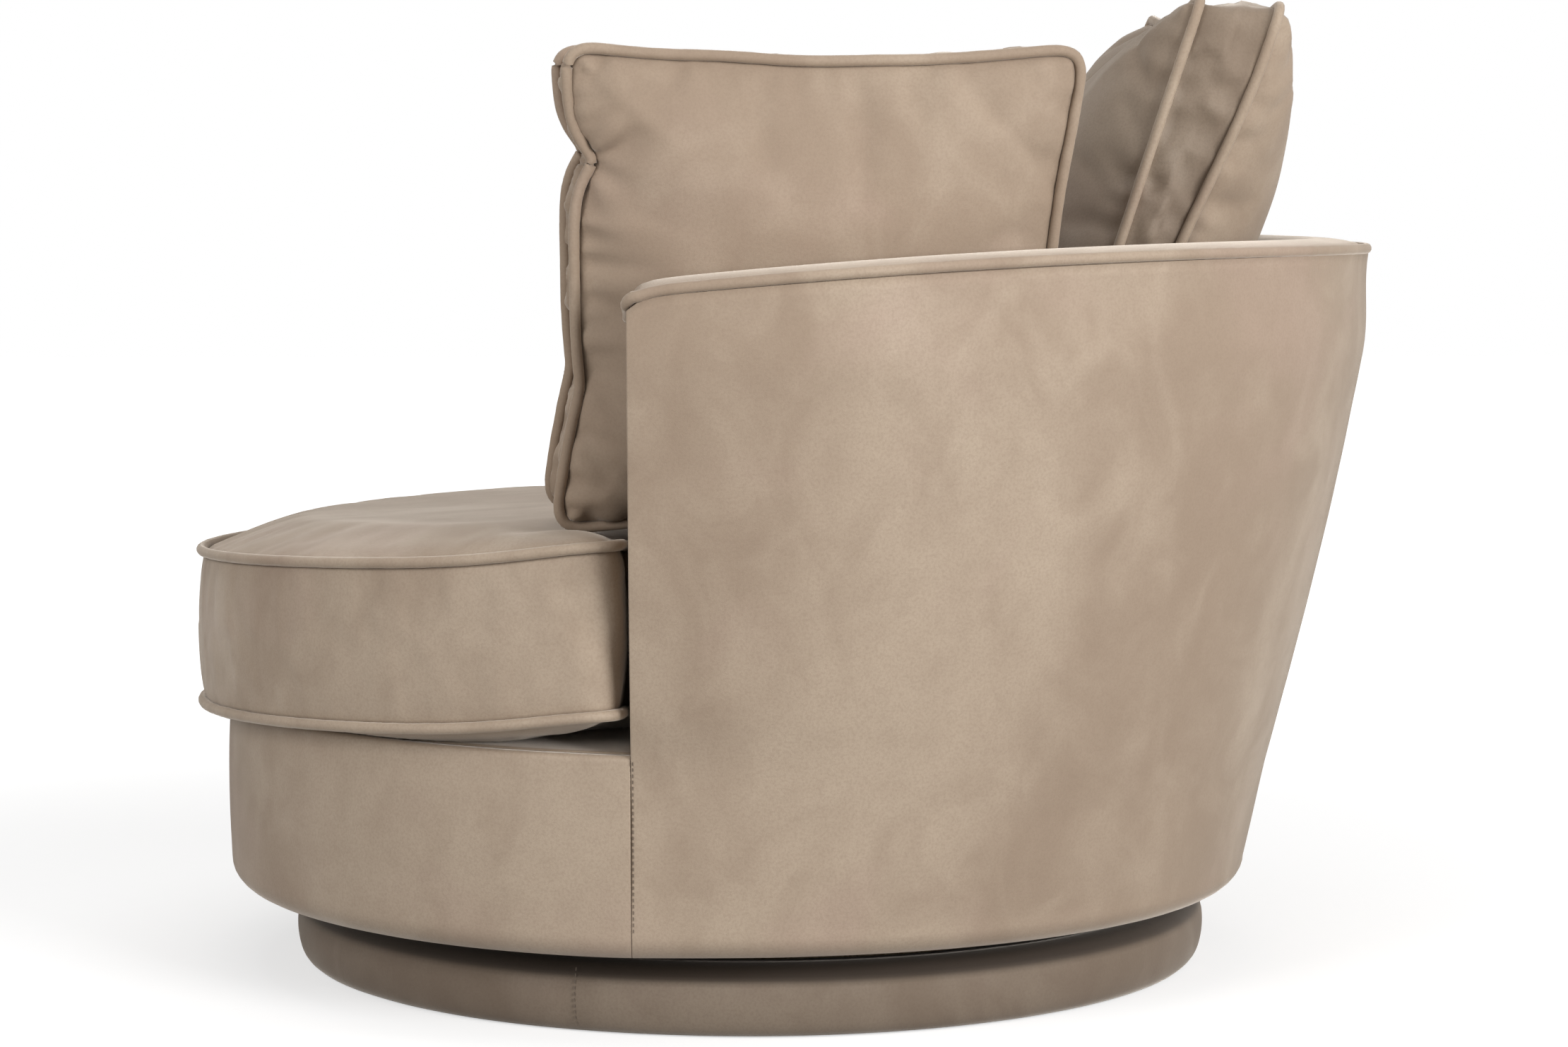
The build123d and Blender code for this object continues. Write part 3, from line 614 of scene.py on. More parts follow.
@dataclass
class Wall:
    """The leaning wall of back and arms, shared by every piece that wraps round it."""

    foot_z: float = 0.0797
    foot_radius: float = 0.486
    rail_radius: float = 0.620
    arm_front: float = -0.105
    rail_front: float = 0.670
    rail_middle: float = 0.697
    rail_back: float = 0.700
    thickness: float = 0.100
    belly: float = 7.0 * MM
    tuck: float = 13.0 * MM
    tuck_from: float = 0.600
    droop: float = 11.0 * MM
    droop_reach: float = 10.0 * MM
    drum_radius: float = 0.516
    seam_lean: float = 0.28
    outer_round: float = 12.0 * MM
    cover: float = 2.4 * MM

    def radius(self, z: float) -> float:
        """Outer radius at a height, with the padding's slight belly.

        Args:
            z: height.

        Returns:
            The radius.
        """
        slope = (self.rail_radius - self.foot_radius) / (self.rail_back - self.foot_z)
        share = min(1.0, max(0.0, (z - 0.2) / (self.rail_back - 0.2)))
        turned = self.tuck * smooth_step(z, self.tuck_from, self.rail_back)
        swell = self.belly * math.sin(math.pi * share)
        return self.foot_radius + (z - self.foot_z) * slope + swell - turned

    def face(self, z: float, y: float) -> float:
        """Radius of the outside face, which meets the drum's front at the upright seam.

        Args:
            z: height.
            y: place along the chair.

        Returns:
            The radius.
        """
        own = self.radius(z)
        share = (1 - self.seam_lean) * math.exp(-abs(y - self.arm_front) / 0.11)
        share *= 1 - smooth_step(z, 0.24, 0.31)
        return own + (self.drum_radius - own) * share

    def drum(self, z: float, y: float) -> float:
        """Radius of the drum's front, which meets the outside face at the upright seam."""
        share = self.seam_lean * math.exp(-abs(y - self.arm_front) / 0.07)
        return self.drum_radius + (self.radius(z) - self.drum_radius) * share

    def rail(self, y: float) -> float:
        """Height of the rail line, which falls a little towards the arm fronts.

        Args:
            y: place along the chair.

        Returns:
            The height.
        """
        a, b, c = self.arm_front, (self.arm_front + self.rail_radius) / 2, self.rail_radius
        return (
            -self.droop * math.exp(-max(0.0, y - a) / self.droop_reach)
            + self.rail_front * (y - b) * (y - c) / ((a - b) * (a - c))
            + self.rail_middle * (y - a) * (y - c) / ((b - a) * (b - c))
            + self.rail_back * (y - a) * (y - b) / ((c - a) * (c - b))
        )


@dataclass
class WrappedPanel:
    """A closed padded panel: one section carried round the chair, with rounded ends at the arm fronts."""

    section: Callable[[float, float], Loop]
    facing: Facing
    edge_y: float
    end_round: float
    stations: int
    end_rows: int
    mean_radius: float = 0.55

    def mesh(self) -> tuple[list[Vector], list[list[int]]]:
        """Builds the panel.

        Returns:
            Points and faces.
        """
        sign = self.facing.value
        rows: list[tuple[float, float, float]] = []
        ends = [math.pi / 2 * (1 - i / self.end_rows) for i in range(self.end_rows)]
        for angle in ends:
            inset = self.end_round * (1 - math.cos(angle))
            rows.append((-1.0, self.edge_y + sign * self.end_round * (1 - math.sin(angle)), inset))
        for i in range(self.stations + 1):
            rows.append((2 * i / self.stations - 1, self.edge_y + sign * self.end_round, 0.0))
        for turn, edge, inset in rows[: self.end_rows][::-1]:
            rows.append((-turn, edge, inset))
        points: list[Vector] = []
        for turn, edge, inset in rows:
            half = math.acos(max(-1.0, min(1.0, sign * edge / self.mean_radius)))
            for radius, z in self.section(inset, sign * self.mean_radius * math.cos(turn * half)):
                swing = turn * math.acos(max(-1.0, min(1.0, sign * edge / radius)))
                points.append(Vector((radius * math.sin(swing), sign * radius * math.cos(swing), z)))
        return points, lofted(len(rows), len(points) // len(rows), False)


def relax(
    points: list[Vector], seed: float, depth: float, seams: Sequence[Vector], reach: float
) -> list[float]:
    """Gives stretched velvet its slow unevenness and its puckers along a seam.

    Args:
        points: points to move, in place.
        seed: noise seed.
        depth: how far the puckers go.
        seams: points along the seams.
        reach: how far from a seam they run.

    Returns:
        How deep in a seam each point lies, which sets the painted shade along the seam.
    """
    tree = KDTree(max(1, len(seams)))
    for i, seam in enumerate(seams):
        tree.insert(seam, i)
    tree.balance()
    painted_shades = []
    for i, point in enumerate(points):
        out = Vector((point.x, point.y, 0.0)).normalized()
        shift = 1.1 * MM * ripple(point, 5.0, seed) + 0.35 * MM * ripple(point, 21.0, seed)
        away = tree.find(point)[2] if seams else 1.0
        if seams:
            gather = ripple(Vector((point.x, point.y, 0.3 * point.z)), 52.0, seed)
            shift += depth * math.exp(-away / reach) * gather
        painted_shades.append(max(0.0, 1.0 - away / (5 * MM)))
        points[i] = point + out * shift
    return painted_shades


@dataclass
class Plinth:
    """The padded drum that the chair stands on, with its velvet sleeve and upright seam."""

    velvet: bpy.types.Material
    low: float = 1.6 * MM
    high: float = 66.4 * MM
    edge: float = 0.444
    bulge: float = 8.0 * MM
    shoulder: float = 9.0 * MM
    flange: float = 30.0 * MM
    seam_angle: float = math.radians(-21.0)
    # Painted shade over the whole sleeve, which sits in the shadow of the seat above.
    nap_and_painted_shade: float = 0.7
    # Painted shadow added in the band just under the seat's hem.
    gap_shade: float = 0.65

    def section(self) -> Loop:
        """Section of the sleeve, from its lower flange round its face to its upper one.

        Returns:
            The closed section.
        """
        wall = 2.0 * MM
        face = []
        for i in range(21):
            share = i / 20
            corner = 4.0 * MM * abs(2 * share - 1) ** 8
            corner += self.shoulder * max(0.0, (share - 0.62) / 0.38) ** 2.2
            radius = self.edge + self.bulge * math.sin(math.pi * share) ** 0.8 - corner
            face.append((radius, self.low + (self.high - self.low) * share))
        inside = [(r - wall - 1.5 * MM, z) for r, z in face[::-1] if self.low + wall < z < self.high - wall]
        back = self.edge - self.flange
        under = self.high - wall
        upper = [(back, self.high), (back, under), (self.edge - self.shoulder - 8 * MM, under)]
        lower = [(self.edge - 5 * MM, self.low + wall), (back, self.low + wall), (back, self.low)]
        return face + upper + inside + lower

    def build(self) -> None:
        """Makes the sleeve and its seam."""
        loop = self.section()
        steps = 240
        points = []
        for i in range(steps):
            turn = 2 * math.pi * i / steps
            gather = min(abs(turn - self.seam_angle % (2 * math.pi)), math.pi)
            tuck = 1.6 * MM * math.exp(-((gather / 0.008) ** 2))
            for radius, z in loop:
                radius -= tuck if radius > self.edge - 2 * MM else 0.0
                points.append(Vector((radius * math.cos(turn), radius * math.sin(turn), z)))
        relax(points, 4.0, 0.0, [], 1.0)
        # Painted shade: the sleeve is darkened all over, and its top band towards near-black where the gap
        # under the seat lies in shadow.
        shade_from, shade_full = self.high - 19 * MM, self.high - 11 * MM
        shaded = [self.nap_and_painted_shade + self.gap_shade * smooth_step(p.z, shade_from, shade_full) for p in points]
        made = make_piece("plinth_sleeve", points, lofted(steps, len(loop), True), self.velvet, shaded)
        settle(made, Body.BASE, ["plinth_cover", "plinth_wadding"])


@dataclass
class Apron:
    """The padded front of the seat drum, below the seat cushion."""

    wall: Wall
    velvet: bpy.types.Material
    top: float = 0.2645
    padding: float = 14.0 * MM
    foot_turn: float = 24.0 * MM
    flange_radius: float = 0.441
    swell: float = 2.5 * MM
    end_gap: float = 1.0 * MM
    sheet: float = 2.4 * MM

    def section(self, inset: float, y: float) -> Loop:
        """Section of the apron, drawn in by an inset.

        Args:
            inset: how far the face is drawn in.
            y: place along the chair.

        Returns:
            The closed section.
        """
        foot, turn = self.wall.foot_z, self.foot_turn
        face = []
        for i in range(9):
            angle = -math.pi / 2 + math.pi / 2 * i / 8
            out = self.wall.drum(foot + turn, y) - turn + turn * math.cos(angle)
            face.append((out, foot + turn + turn * math.sin(angle)))
        upright = self.top - foot - turn
        for i in range(1, 25):
            share = i / 24
            z = foot + turn + upright * share
            face.append((self.wall.drum(z, y) + self.swell * math.sin(math.pi * share), z))
        top = self.wall.drum(self.top, y)
        face[-1] = (top - 2.5 * MM, self.top - 0.5 * MM)
        face.insert(-1, (top, self.top - 3.5 * MM))
        face = [(r - inset, z) for r, z in face]
        back = self.wall.drum_radius - self.padding - self.end_gap
        low_back = self.wall.drum(foot + turn, y) - turn
        rear = [(back, self.top - 1.2 * MM), (min(back, low_back + 8 * MM), foot + turn)]
        flange = [(self.flange_radius, foot + self.sheet), (self.flange_radius, foot)]
        return face + rear + [(low_back, foot + self.sheet)] + flange

    def build(self) -> None:
        """Makes the apron."""
        edge = self.wall.arm_front - 0.2 * MM
        panel = WrappedPanel(self.section, Facing.FRONT, edge, 1.2 * MM, 150, 4)
        points, faces = panel.mesh()
        relax(points, 11.0, 0.0, [], 1.0)
        made = make_piece("apron_front", points, faces, self.velvet)
        settle(made, Body.SEAT_FRAME, ["apron_cover", "apron_wadding"])


@dataclass
class BackAndArms:
    """The wraparound back: outside panel, inside padding rolled over the rail, and piping between them."""

    wall: Wall
    velvet: bpy.types.Material
    lining_foot: float = 0.2472
    inner_round: float = 44.0 * MM
    roll: float = 9.0 * MM
    foam_depth: float = 45.0 * MM
    rail_board_top: float = 0.632
    foot_turn: float = 24.0 * MM
    panel_depth: float = 9.0 * MM
    flange_radius: float = 0.441
    piping_radius: float = 5.0 * MM
    stitch_gap: float = 4.6 * MM
    corner_dip: float = 9.0 * MM
    front_sink: float = 12.0 * MM
    front_run: float = 55.0 * MM
    sheet: float = 2.4 * MM

    def outside_section(self, inset: float, y: float) -> Loop:
        """Section of the outside panel at a place along the chair.

        Args:
            inset: how far its face is drawn in.
            y: place along the chair.

        Returns:
            The closed section.
        """
        foot, turn = self.wall.foot_z, self.foot_turn
        top = self.wall.rail(y) - self.stitch_gap
        face = []
        for i in range(9):
            angle = -math.pi / 2 + math.pi / 2 * i / 8
            out = self.wall.face(foot + turn, y) - turn + turn * math.cos(angle)
            face.append((out, foot + turn * (1 + math.sin(angle))))
        for i in range(1, 57):
            z = foot + turn + (top - foot - turn) * i / 56
            face.append((self.wall.face(z, y), z))
        face = [(r - inset, z) for r, z in face]
        rear = []
        for i in range(9):
            z = top - (top - foot - turn) * i / 8
            rear.append((self.wall.face(z, y) - self.panel_depth, z))
        inner = foot + self.sheet
        under = [(self.wall.radius(foot) - turn, inner), (self.flange_radius, inner)]
        return face + rear + under + [(self.flange_radius, foot)]

    def inside_section(self, inset: float, y: float) -> Loop:
        """Section of the inside padding, up the inner face and over the rail.

        Args:
            inset: how far it is drawn in.
            y: place along the chair.

        Returns:
            The closed section.
        """
        wall = self.wall
        top = wall.rail(y) - inset
        inner = wall.thickness - inset
        outer = wall.cover + inset
        bend = self.inner_round - inset
        edge = wall.outer_round - inset
        line: list[tuple[float, float]] = []
        for i in range(30):
            share = i / 30
            z = self.lining_foot + (top - bend - self.lining_foot) * share
            line.append((inner + 3.0 * MM * math.sin(math.pi * share), z))
        for i in range(11):
            angle = math.pi / 2 * i / 10
            line.append((inner - bend + bend * math.cos(angle), top - bend + bend * math.sin(angle)))
        flat = (inner - bend) - (outer + edge)
        for i in range(1, 13):
            line.append((inner - bend - flat * i / 12, top))
        for i in range(1, 9):
            angle = math.pi / 2 * i / 8
            line.append((outer + edge - edge * math.sin(angle), top - edge + edge * math.cos(angle)))
        crowned = []
        for depth, z in line:
            share = min(1.0, max(0.0, (inner - depth) / (inner - outer)))
            lift = self.roll * math.sin(math.pi * share) ** 0.7 if z > top - bend * 1.2 else 0.0
            crowned.append((depth, z + lift))
        down = [(outer, self.rail_board_top + 20 * MM), (outer, self.rail_board_top)]
        rear = inner - self.foam_depth
        inside = [(rear, self.rail_board_top), (rear, self.lining_foot)]
        if y < wall.arm_front + wall.outer_round + 0.5 * MM:
            edge_depth = self.panel_depth + 0.6 * MM
            down = [(outer, self.rail_board_top + 20 * MM), (edge_depth, self.rail_board_top)]
            half_way = (self.rail_board_top + self.lining_foot) / 2
            inside = [(edge_depth, half_way), (edge_depth, self.lining_foot)]
        loop = crowned + down + inside
        return [(wall.radius(z) - depth, z) for depth, z in loop]

    def rail_path(self) -> list[Vector]:
        """The rail piping's line, turned in across the top of each arm front.

        Returns:
            Points along the piping.
        """
        wall = self.wall
        turn_y = wall.arm_front + wall.outer_round
        reach = math.sqrt((wall.outer_round + self.piping_radius) ** 2 - wall.outer_round**2)
        core = wall.radius(wall.rail(turn_y)) - wall.cover - wall.outer_round
        turn_x = math.sqrt(core**2 - turn_y**2)
        first = math.atan2(turn_y, turn_x)
        level = wall.rail(turn_y)
        half = []
        for i in range(9):
            sink = self.front_sink * (1 - i / 8) ** 2 + self.corner_dip
            half.append(Vector((turn_x - self.front_run * (1 - i / 9), turn_y - reach, level - sink)))
        for i in range(12):
            angle = -math.pi / 2 + (math.pi / 2 + first) * i / 12
            dip = self.corner_dip * (1 - i / 12) ** 1.5
            x, y = turn_x + reach * math.cos(angle), turn_y + reach * math.sin(angle)
            half.append(Vector((x, y, level - dip)))
        for i in range(121):
            angle = first + (math.pi / 2 - first) * i / 120
            radius = wall.rail_radius
            for _ in range(6):
                z = wall.rail(radius * math.sin(angle))
                radius = wall.radius(z) - wall.cover - wall.outer_round + reach
            half.append(Vector((radius * math.cos(angle), radius * math.sin(angle), z)))
        return half + [Vector((-p.x, p.y, p.z)) for p in half[-2::-1]]

    def build(self) -> None:
        """Makes the two panels and the piping."""
        path = resample(self.rail_path(), 4.0 * MM, False)
        edge = self.wall.arm_front + 0.2 * MM
        outside = WrappedPanel(self.outside_section, Facing.BACK, edge, 1.2 * MM, 260, 4)
        points, faces = outside.mesh()
        # Painted shade darkens both panels along the rail piping, by how deep in the seam each point lies.
        painted_shades = relax(points, 7.0, 1.1 * MM, path, 26 * MM)
        made = make_piece("outside_back", points, faces, self.velvet, painted_shades)
        settle(made, Body.SEAT_FRAME, ["outside_back_cover", "back_outer_wadding"])
        inside = WrappedPanel(self.inside_section, Facing.BACK, self.wall.arm_front, 12.0 * MM, 200, 7)
        points, faces = inside.mesh()
        painted_shades = relax(points, 17.0, 1.3 * MM, path, 30 * MM)
        made = make_piece("inside_back", points, faces, self.velvet, painted_shades)
        settle(made, Body.SEAT_FRAME, ["inside_back_cover", "back_foam"])
        points, faces = tube(path, self.piping_radius, False)
        made = make_piece("rail_cord", points, faces, self.velvet)
        settle(made, Body.SEAT_FRAME, ["rail_piping"])


@dataclass(frozen=True)
class Gathers:
    """How velvet gathers along a cushion's cords and across its border."""

    short: float = 3.4 * MM
    short_reach: float = 22.0 * MM
    long: float = 2.2 * MM
    long_reach: float = 70.0 * MM
    slow: float = 2.4 * MM
    groove: float = 1.6 * MM
    groove_width: float = 7.0 * MM
    border_wave: float = 10.0 * MM
    border_ripple: float = 5.0 * MM
    border_sink: float = 3.5 * MM
    border_deepest: float = 4.5 * MM
    # Painted shade along the piped seams.
    seam_shade: float = 0.8
    fold: float = 5.0 * MM
    fold_reach: float = 55.0 * MM
    fold_turns: float = 6.5
    edge_crease: float = 0.75


@dataclass
class BoxedCushion:
    """A cushion of two faces and a border, sewn with piping along both edges and filled by simulation."""

    name: str
    body: Body
    outline: list[Vector]
    origin: Vector
    across: Vector
    along: Vector
    border: float
    front_crown: float
    back_crown: float
    velvet: bpy.types.Material
    spacing: float = 9.0 * MM
    border_rows: int = 8
    dome_reach: float = 0.9
    back_reach: float = 0.9
    pressure: float = 3.0
    slack: float = 0.03
    cap: float = 24.0 * MM
    fill: float = 0.8
    seed: float = 1.0
    pucker: float = 1.0
    border_bulge: float = 1.5 * MM
    # Painted shade on the border and on the front face.
    border_shade: float = 0.0
    front_shade: float = 0.0
    piping_radius: float = 5.0 * MM
    warp: Callable[[Vector], Vector] | None = None
    rest: Callable[[Vector], Vector] | None = None
    folds: list[tuple[float, float]] = field(default_factory=list)
    sewn_line: list[Vector] = field(default_factory=list)
    stands_for: list[str] = field(default_factory=list)
    piping_nodes: list[str] = field(default_factory=list)
    gathers: Gathers = Gathers()
    trim: bpy.types.Material | None = None
    zip_node: str = ""
    zip_side: float = -1.0
    zip_reach: float = 0.15

    def distance(self, spots: np.ndarray) -> np.ndarray:
        """Distance from each spot to the outline, negative outside it.

        Args:
            spots: rows of plane coordinates.

        Returns:
            One distance for each row.
        """
        line = np.array([(p.x, p.y) for p in self.outline])
        after = np.roll(line, -1, axis=0)
        step = after - line
        best = np.full(len(spots), 1e9)
        inside = np.zeros(len(spots), bool)
        for start, run, end in zip(line, step, after):
            share = np.clip(((spots - start) @ run) / (run @ run), 0, 1)
            best = np.minimum(best, np.linalg.norm(spots - start - share[:, None] * run, axis=1))
            crosses = (start[1] > spots[:, 1]) != (end[1] > spots[:, 1])
            level = np.where(run[1] == 0, 1e-12, run[1])
            inside ^= crosses & (spots[:, 0] < start[0] + run[0] * (spots[:, 1] - start[1]) / level)
        return np.where(inside, best, -best)

    def face_grid(self) -> tuple[np.ndarray, list[list[int]], list[int]]:
        """A grid of quads that fills the outline, with an even ring of points along it.

        Returns:
            Plane coordinates, faces, and the ring's point numbers in order.
        """
        line = np.array([(p.x, p.y) for p in self.outline])
        low, high = line.min(0), line.max(0)
        size = np.maximum(2, np.ceil((high - low) / self.spacing).astype(int))
        xs = np.linspace(low[0], high[0], size[0] + 1)
        ys = np.linspace(low[1], high[1], size[1] + 1)
        spots = np.array([(x, y) for y in ys for x in xs])
        keep = self.distance(spots) > 0.6 * self.spacing
        width = size[0] + 1
        cells = []
        for j in range(size[1]):
            for i in range(size[0]):
                cell = [j * width + i, j * width + i + 1, (j + 1) * width + i + 1, (j + 1) * width + i]
                if all(keep[c] for c in cell):
                    cells.append(cell)
        used = sorted({c for cell in cells for c in cell})
        renumber = {old: new for new, old in enumerate(used)}
        flat = spots[used]
        cells = [[renumber[c] for c in cell] for cell in cells]
        onward = {}
        sides = {(cell[k], cell[(k + 1) % 4]) for cell in cells for k in range(4)}
        for a, b in sides:
            if (b, a) not in sides:
                onward[a] = b
        loop = [next(iter(sorted(onward)))]
        while onward[loop[-1]] != loop[0]:
            loop.append(onward[loop[-1]])
        marks = self.outline_marks(flat[loop])
        ring = self.outline_points(marks)
        self.sewn_line = [Vector((x, y)) for x, y in ring]
        first = len(flat)
        ring_numbers = list(range(first, first + len(loop)))
        for i, vertex in enumerate(loop):
            j = (i + 1) % len(loop)
            cells.append([vertex, ring_numbers[i], ring_numbers[j], loop[j]])
        flat = np.vstack([flat, ring])
        return self.evened(flat, cells, first), cells, ring_numbers

    def outline_marks(self, spots: np.ndarray) -> np.ndarray:
        """Places along the outline nearest to some spots, evened out and in order.

        Args:
            spots: rows of plane coordinates.

        Returns:
            Shares of the outline's length.
        """
        dense = resample(self.outline, 1.0 * MM, True)
        tree = KDTree(len(dense))
        for i, p in enumerate(dense):
            tree.insert((p.x, p.y, 0), i)
        tree.balance()
        marks = np.array([tree.find((x, y, 0))[1] for x, y in spots], float) / len(dense)
        marks = np.unwrap(marks * 2 * math.pi) / (2 * math.pi)
        count = len(marks)
        drift = marks - np.linspace(marks[0], marks[0] + 1, count, endpoint=False)
        for _ in range(60):
            drift = 0.5 * drift + 0.25 * (np.roll(drift, 1) + np.roll(drift, -1))
        return drift + np.linspace(marks[0], marks[0] + 1, count, endpoint=False)

    def outline_points(self, marks: np.ndarray) -> np.ndarray:
        """Points of the outline at places given as shares of its length.

        Args:
            marks: shares of the outline's length.

        Returns:
            Rows of plane coordinates.
        """
        dense = resample(self.outline, 1.0 * MM, True)
        line = np.array([(p.x, p.y) for p in dense] + [(dense[0].x, dense[0].y)])
        at = np.linspace(0, 1, len(line))
        share = np.mod(marks, 1.0)
        return np.stack([np.interp(share, at, line[:, axis]) for axis in (0, 1)], axis=1)

    def evened(self, flat: np.ndarray, cells: list[list[int]], fixed_from: int) -> np.ndarray:
        """Evens the inner points of a grid.

        Args:
            flat: plane coordinates.
            cells: faces.
            fixed_from: number of the first point that stays.

        Returns:
            The evened coordinates.
        """
        pairs = np.array(sorted({(c[k], c[(k + 1) % 4]) for c in cells for k in range(4)}))
        pairs = np.vstack([pairs, pairs[:, ::-1]])
        degree = np.bincount(pairs[:, 0], minlength=len(flat))[:, None]
        for _ in range(30):
            total = np.zeros_like(flat)
            np.add.at(total, pairs[:, 0], flat[pairs[:, 1]])
            flat[:fixed_from] = (total / degree)[:fixed_from]
        return flat

    def dome(self, depth: np.ndarray, reach: float) -> np.ndarray:
        """Height of a plump face, as a share of its crown, from the distance to the edge."""
        share = np.clip(depth / (reach * depth.max()), 0, 1)
        return (1 - (1 - share) ** 2.4) ** 0.8

    def placed(self, x: float, y: float, z: float) -> Vector:
        """A point of the cushion's own frame in the chair's frame.

        Args:
            x: place across the cushion.
            y: place along it.
            z: height above its middle.

        Returns:
            The point in the chair's frame.
        """
        spot = Vector((x, y, z))
        if self.warp:
            spot = self.warp(spot)
        facing = self.across.cross(self.along)
        return self.origin + self.across * spot.x + self.along * spot.y + facing * spot.z

    def start_shape(self) -> tuple[list[Vector], list[list[int]], list[int]]:
        """The cushion before it is filled.

        Returns:
            Points, faces, and the numbers of the sewn points.
        """
        flat, cells, ring = self.face_grid()
        depth = np.maximum(0.0, self.distance(flat))
        crown = self.dome(depth, self.dome_reach)
        belly = self.dome(depth, self.back_reach)
        half = self.border / 2
        count = len(flat)
        points = [self.placed(x, y, half + self.front_crown * c) for (x, y), c in zip(flat, crown)]
        points += [self.placed(x, y, -half - self.back_crown * c) for (x, y), c in zip(flat, belly)]
        faces = [list(cell) for cell in cells]
        faces += [[c + count for c in cell[::-1]] for cell in cells]
        rows = [ring]
        line = flat[ring]
        run = np.roll(line, -1, axis=0) - np.roll(line, 1, axis=0)
        outward = np.stack([run[:, 1], -run[:, 0]], axis=1) / np.linalg.norm(run, axis=1, keepdims=True)
        for r in range(1, self.border_rows):
            share = r / self.border_rows
            start = len(points)
            for (x, y), out in zip(line, outward * self.border_bulge * math.sin(math.pi * share)):
                points.append(self.placed(x + out[0], y + out[1], half - self.border * share))
            rows.append(list(range(start, start + len(ring))))
        rows.append([number + count for number in ring])
        for upper, lower in zip(rows, rows[1:]):
            for i in range(len(ring)):
                j = (i + 1) % len(ring)
                faces.append([upper[i], lower[i], lower[j], upper[j]])
        return points, faces, rows[0] + rows[-1]

    def filled(self, piece: bpy.types.Object, sewn: list[int]) -> None:
        """Fills the cushion: cloth under pressure, held along its sewn edges.

        Args:
            piece: the cushion, which takes the result.
            sewn: numbers of the points that the piping holds.
        """
        before = np.array([tuple(v.co) for v in piece.data.vertices])
        group = piece.vertex_groups.new(name="sewn")
        group.add(sewn, 1.0, "REPLACE")
        cloth = piece.modifiers.new("filling", "CLOTH")
        for name, setting in COVER_CLOTH.items():
            setattr(cloth.settings, name, setting)
        cloth.settings.vertex_group_mass = "sewn"
        cloth.settings.uniform_pressure_force = self.pressure
        cloth.settings.shrink_min = -self.slack
        cloth.settings.effector_weights.gravity = 0
        cloth.collision_settings.use_collision = False
        cloth.point_cache.frame_start = 1
        cloth.point_cache.frame_end = FILL_FRAMES
        scene = bpy.context.scene
        for frame in range(1, FILL_FRAMES + 1):
            scene.frame_set(frame)
        evaluated = piece.evaluated_get(bpy.context.evaluated_depsgraph_get())
        after = np.array([tuple(v.co) for v in evaluated.data.vertices])
        piece.modifiers.remove(cloth)
        scene.frame_set(1)
        piece.vertex_groups.clear()
        move = after - before
        length = np.linalg.norm(move, axis=1, keepdims=True)
        move *= np.minimum(1.0, self.cap / np.maximum(length, 1e-9))
        LOG.info("%s: filling moved %.1f mm at most", self.name, 1000 * float(length.max()))
        piece.data.vertices.foreach_set("co", (before + move).astype(np.float32).ravel())
        piece.data.update()

    def finished(self, piece: bpy.types.Object, seams: Sequence[Vector]) -> None:
        """Subdivides the cushion, puckers it along its seams and paints shade into the seams and onto
        shaded faces.

        Args:
            piece: the cushion.
            seams: points along both sewn edges.
        """
        modifier = piece.modifiers.new("smooth", "SUBSURF")
        modifier.levels = modifier.render_levels = 1
        graph = bpy.context.evaluated_depsgraph_get()
        smooth = bpy.data.meshes.new_from_object(piece.evaluated_get(graph))
        piece.modifiers.clear()
        old = piece.data
        piece.data = smooth
        bpy.data.meshes.remove(old)
        smooth.name = self.name
        tree = KDTree(len(seams))
        for i, seam in enumerate(seams):
            tree.insert(seam, i)
        tree.balance()
        style = self.gathers
        facing = self.across.cross(self.along)
        painted_shades = []
        moved = []
        for vertex in smooth.vertices:
            _, index, away = tree.find(vertex.co)
            seam = seams[index]
            lift = style.short * math.exp(-away / style.short_reach) * ripple(seam, 58.0, self.seed)
            lift += style.long * math.exp(-away / style.long_reach) * ripple(seam, 27.0, self.seed + 5)
            lift += style.slow * ripple(vertex.co, 8.0, self.seed)
            groove = -style.groove * math.exp(-((away / style.groove_width) ** 2))
            ease = smooth_step(away, 2 * MM, 12 * MM)
            spot = vertex.co - self.origin
            on_border = smooth_step(self.border / 2 + 2 * MM - abs(spot.dot(facing)), 0.0, 12 * MM)
            lift *= 1 - 0.5 * on_border
            lift *= 0.6 + 1.5 * smooth_step(spot.dot(self.across), 0.05, 0.2)
            tuck = style.border_wave * ripple(seam, 33.0, self.seed + 9) - style.border_sink
            tuck += style.border_ripple * ripple(vertex.co, 40.0, self.seed + 3)
            lift += on_border * max(-style.border_deepest, min(0.0, tuck))
            push = self.pucker * lift * ease + groove + self.fold_depth(vertex.co)
            place = vertex.co + vertex.normal * push
            moved.append(self.rest(place) if self.rest else place)
            # Painted shade: the border and the front face are darkened as if in shade, and each seam as a
            # shaded crease.
            front = smooth_step(spot.dot(facing), 0.0, self.border)
            nap_and_painted_shade = self.border_shade * on_border + self.front_shade * front
            painted_shades.append(max(nap_and_painted_shade, style.seam_shade * max(0.0, 1.0 - away / style.groove_width)))
        for vertex, place in zip(smooth.vertices, moved):
            vertex.co = place
        layer = smooth.attributes.new("painted_shade", "FLOAT", "POINT")
        layer.data.foreach_set("value", np.asarray(painted_shades, np.float32))
        smooth.shade_smooth()

    def fold_depth(self, place: Vector) -> float:
        """Depth of the folds that fan out from each pinched place of the edge.

        Args:
            place: a point of the cushion.

        Returns:
            How far the folds lift it.
        """
        depth = 0.0
        for x, y in self.folds:
            for side in (-1, 1):
                away = place - self.placed(x, y, side * self.border / 2)
                reach = away.length
                turn = math.atan2(away.dot(self.along), -math.copysign(1, x) * away.dot(self.across))
                fade = math.exp(-reach / self.gathers.fold_reach) * smooth_step(reach, 4 * MM, 26 * MM)
                depth += self.gathers.fold * fade * math.cos(self.gathers.fold_turns * turn + 1.1 + side)
        return depth

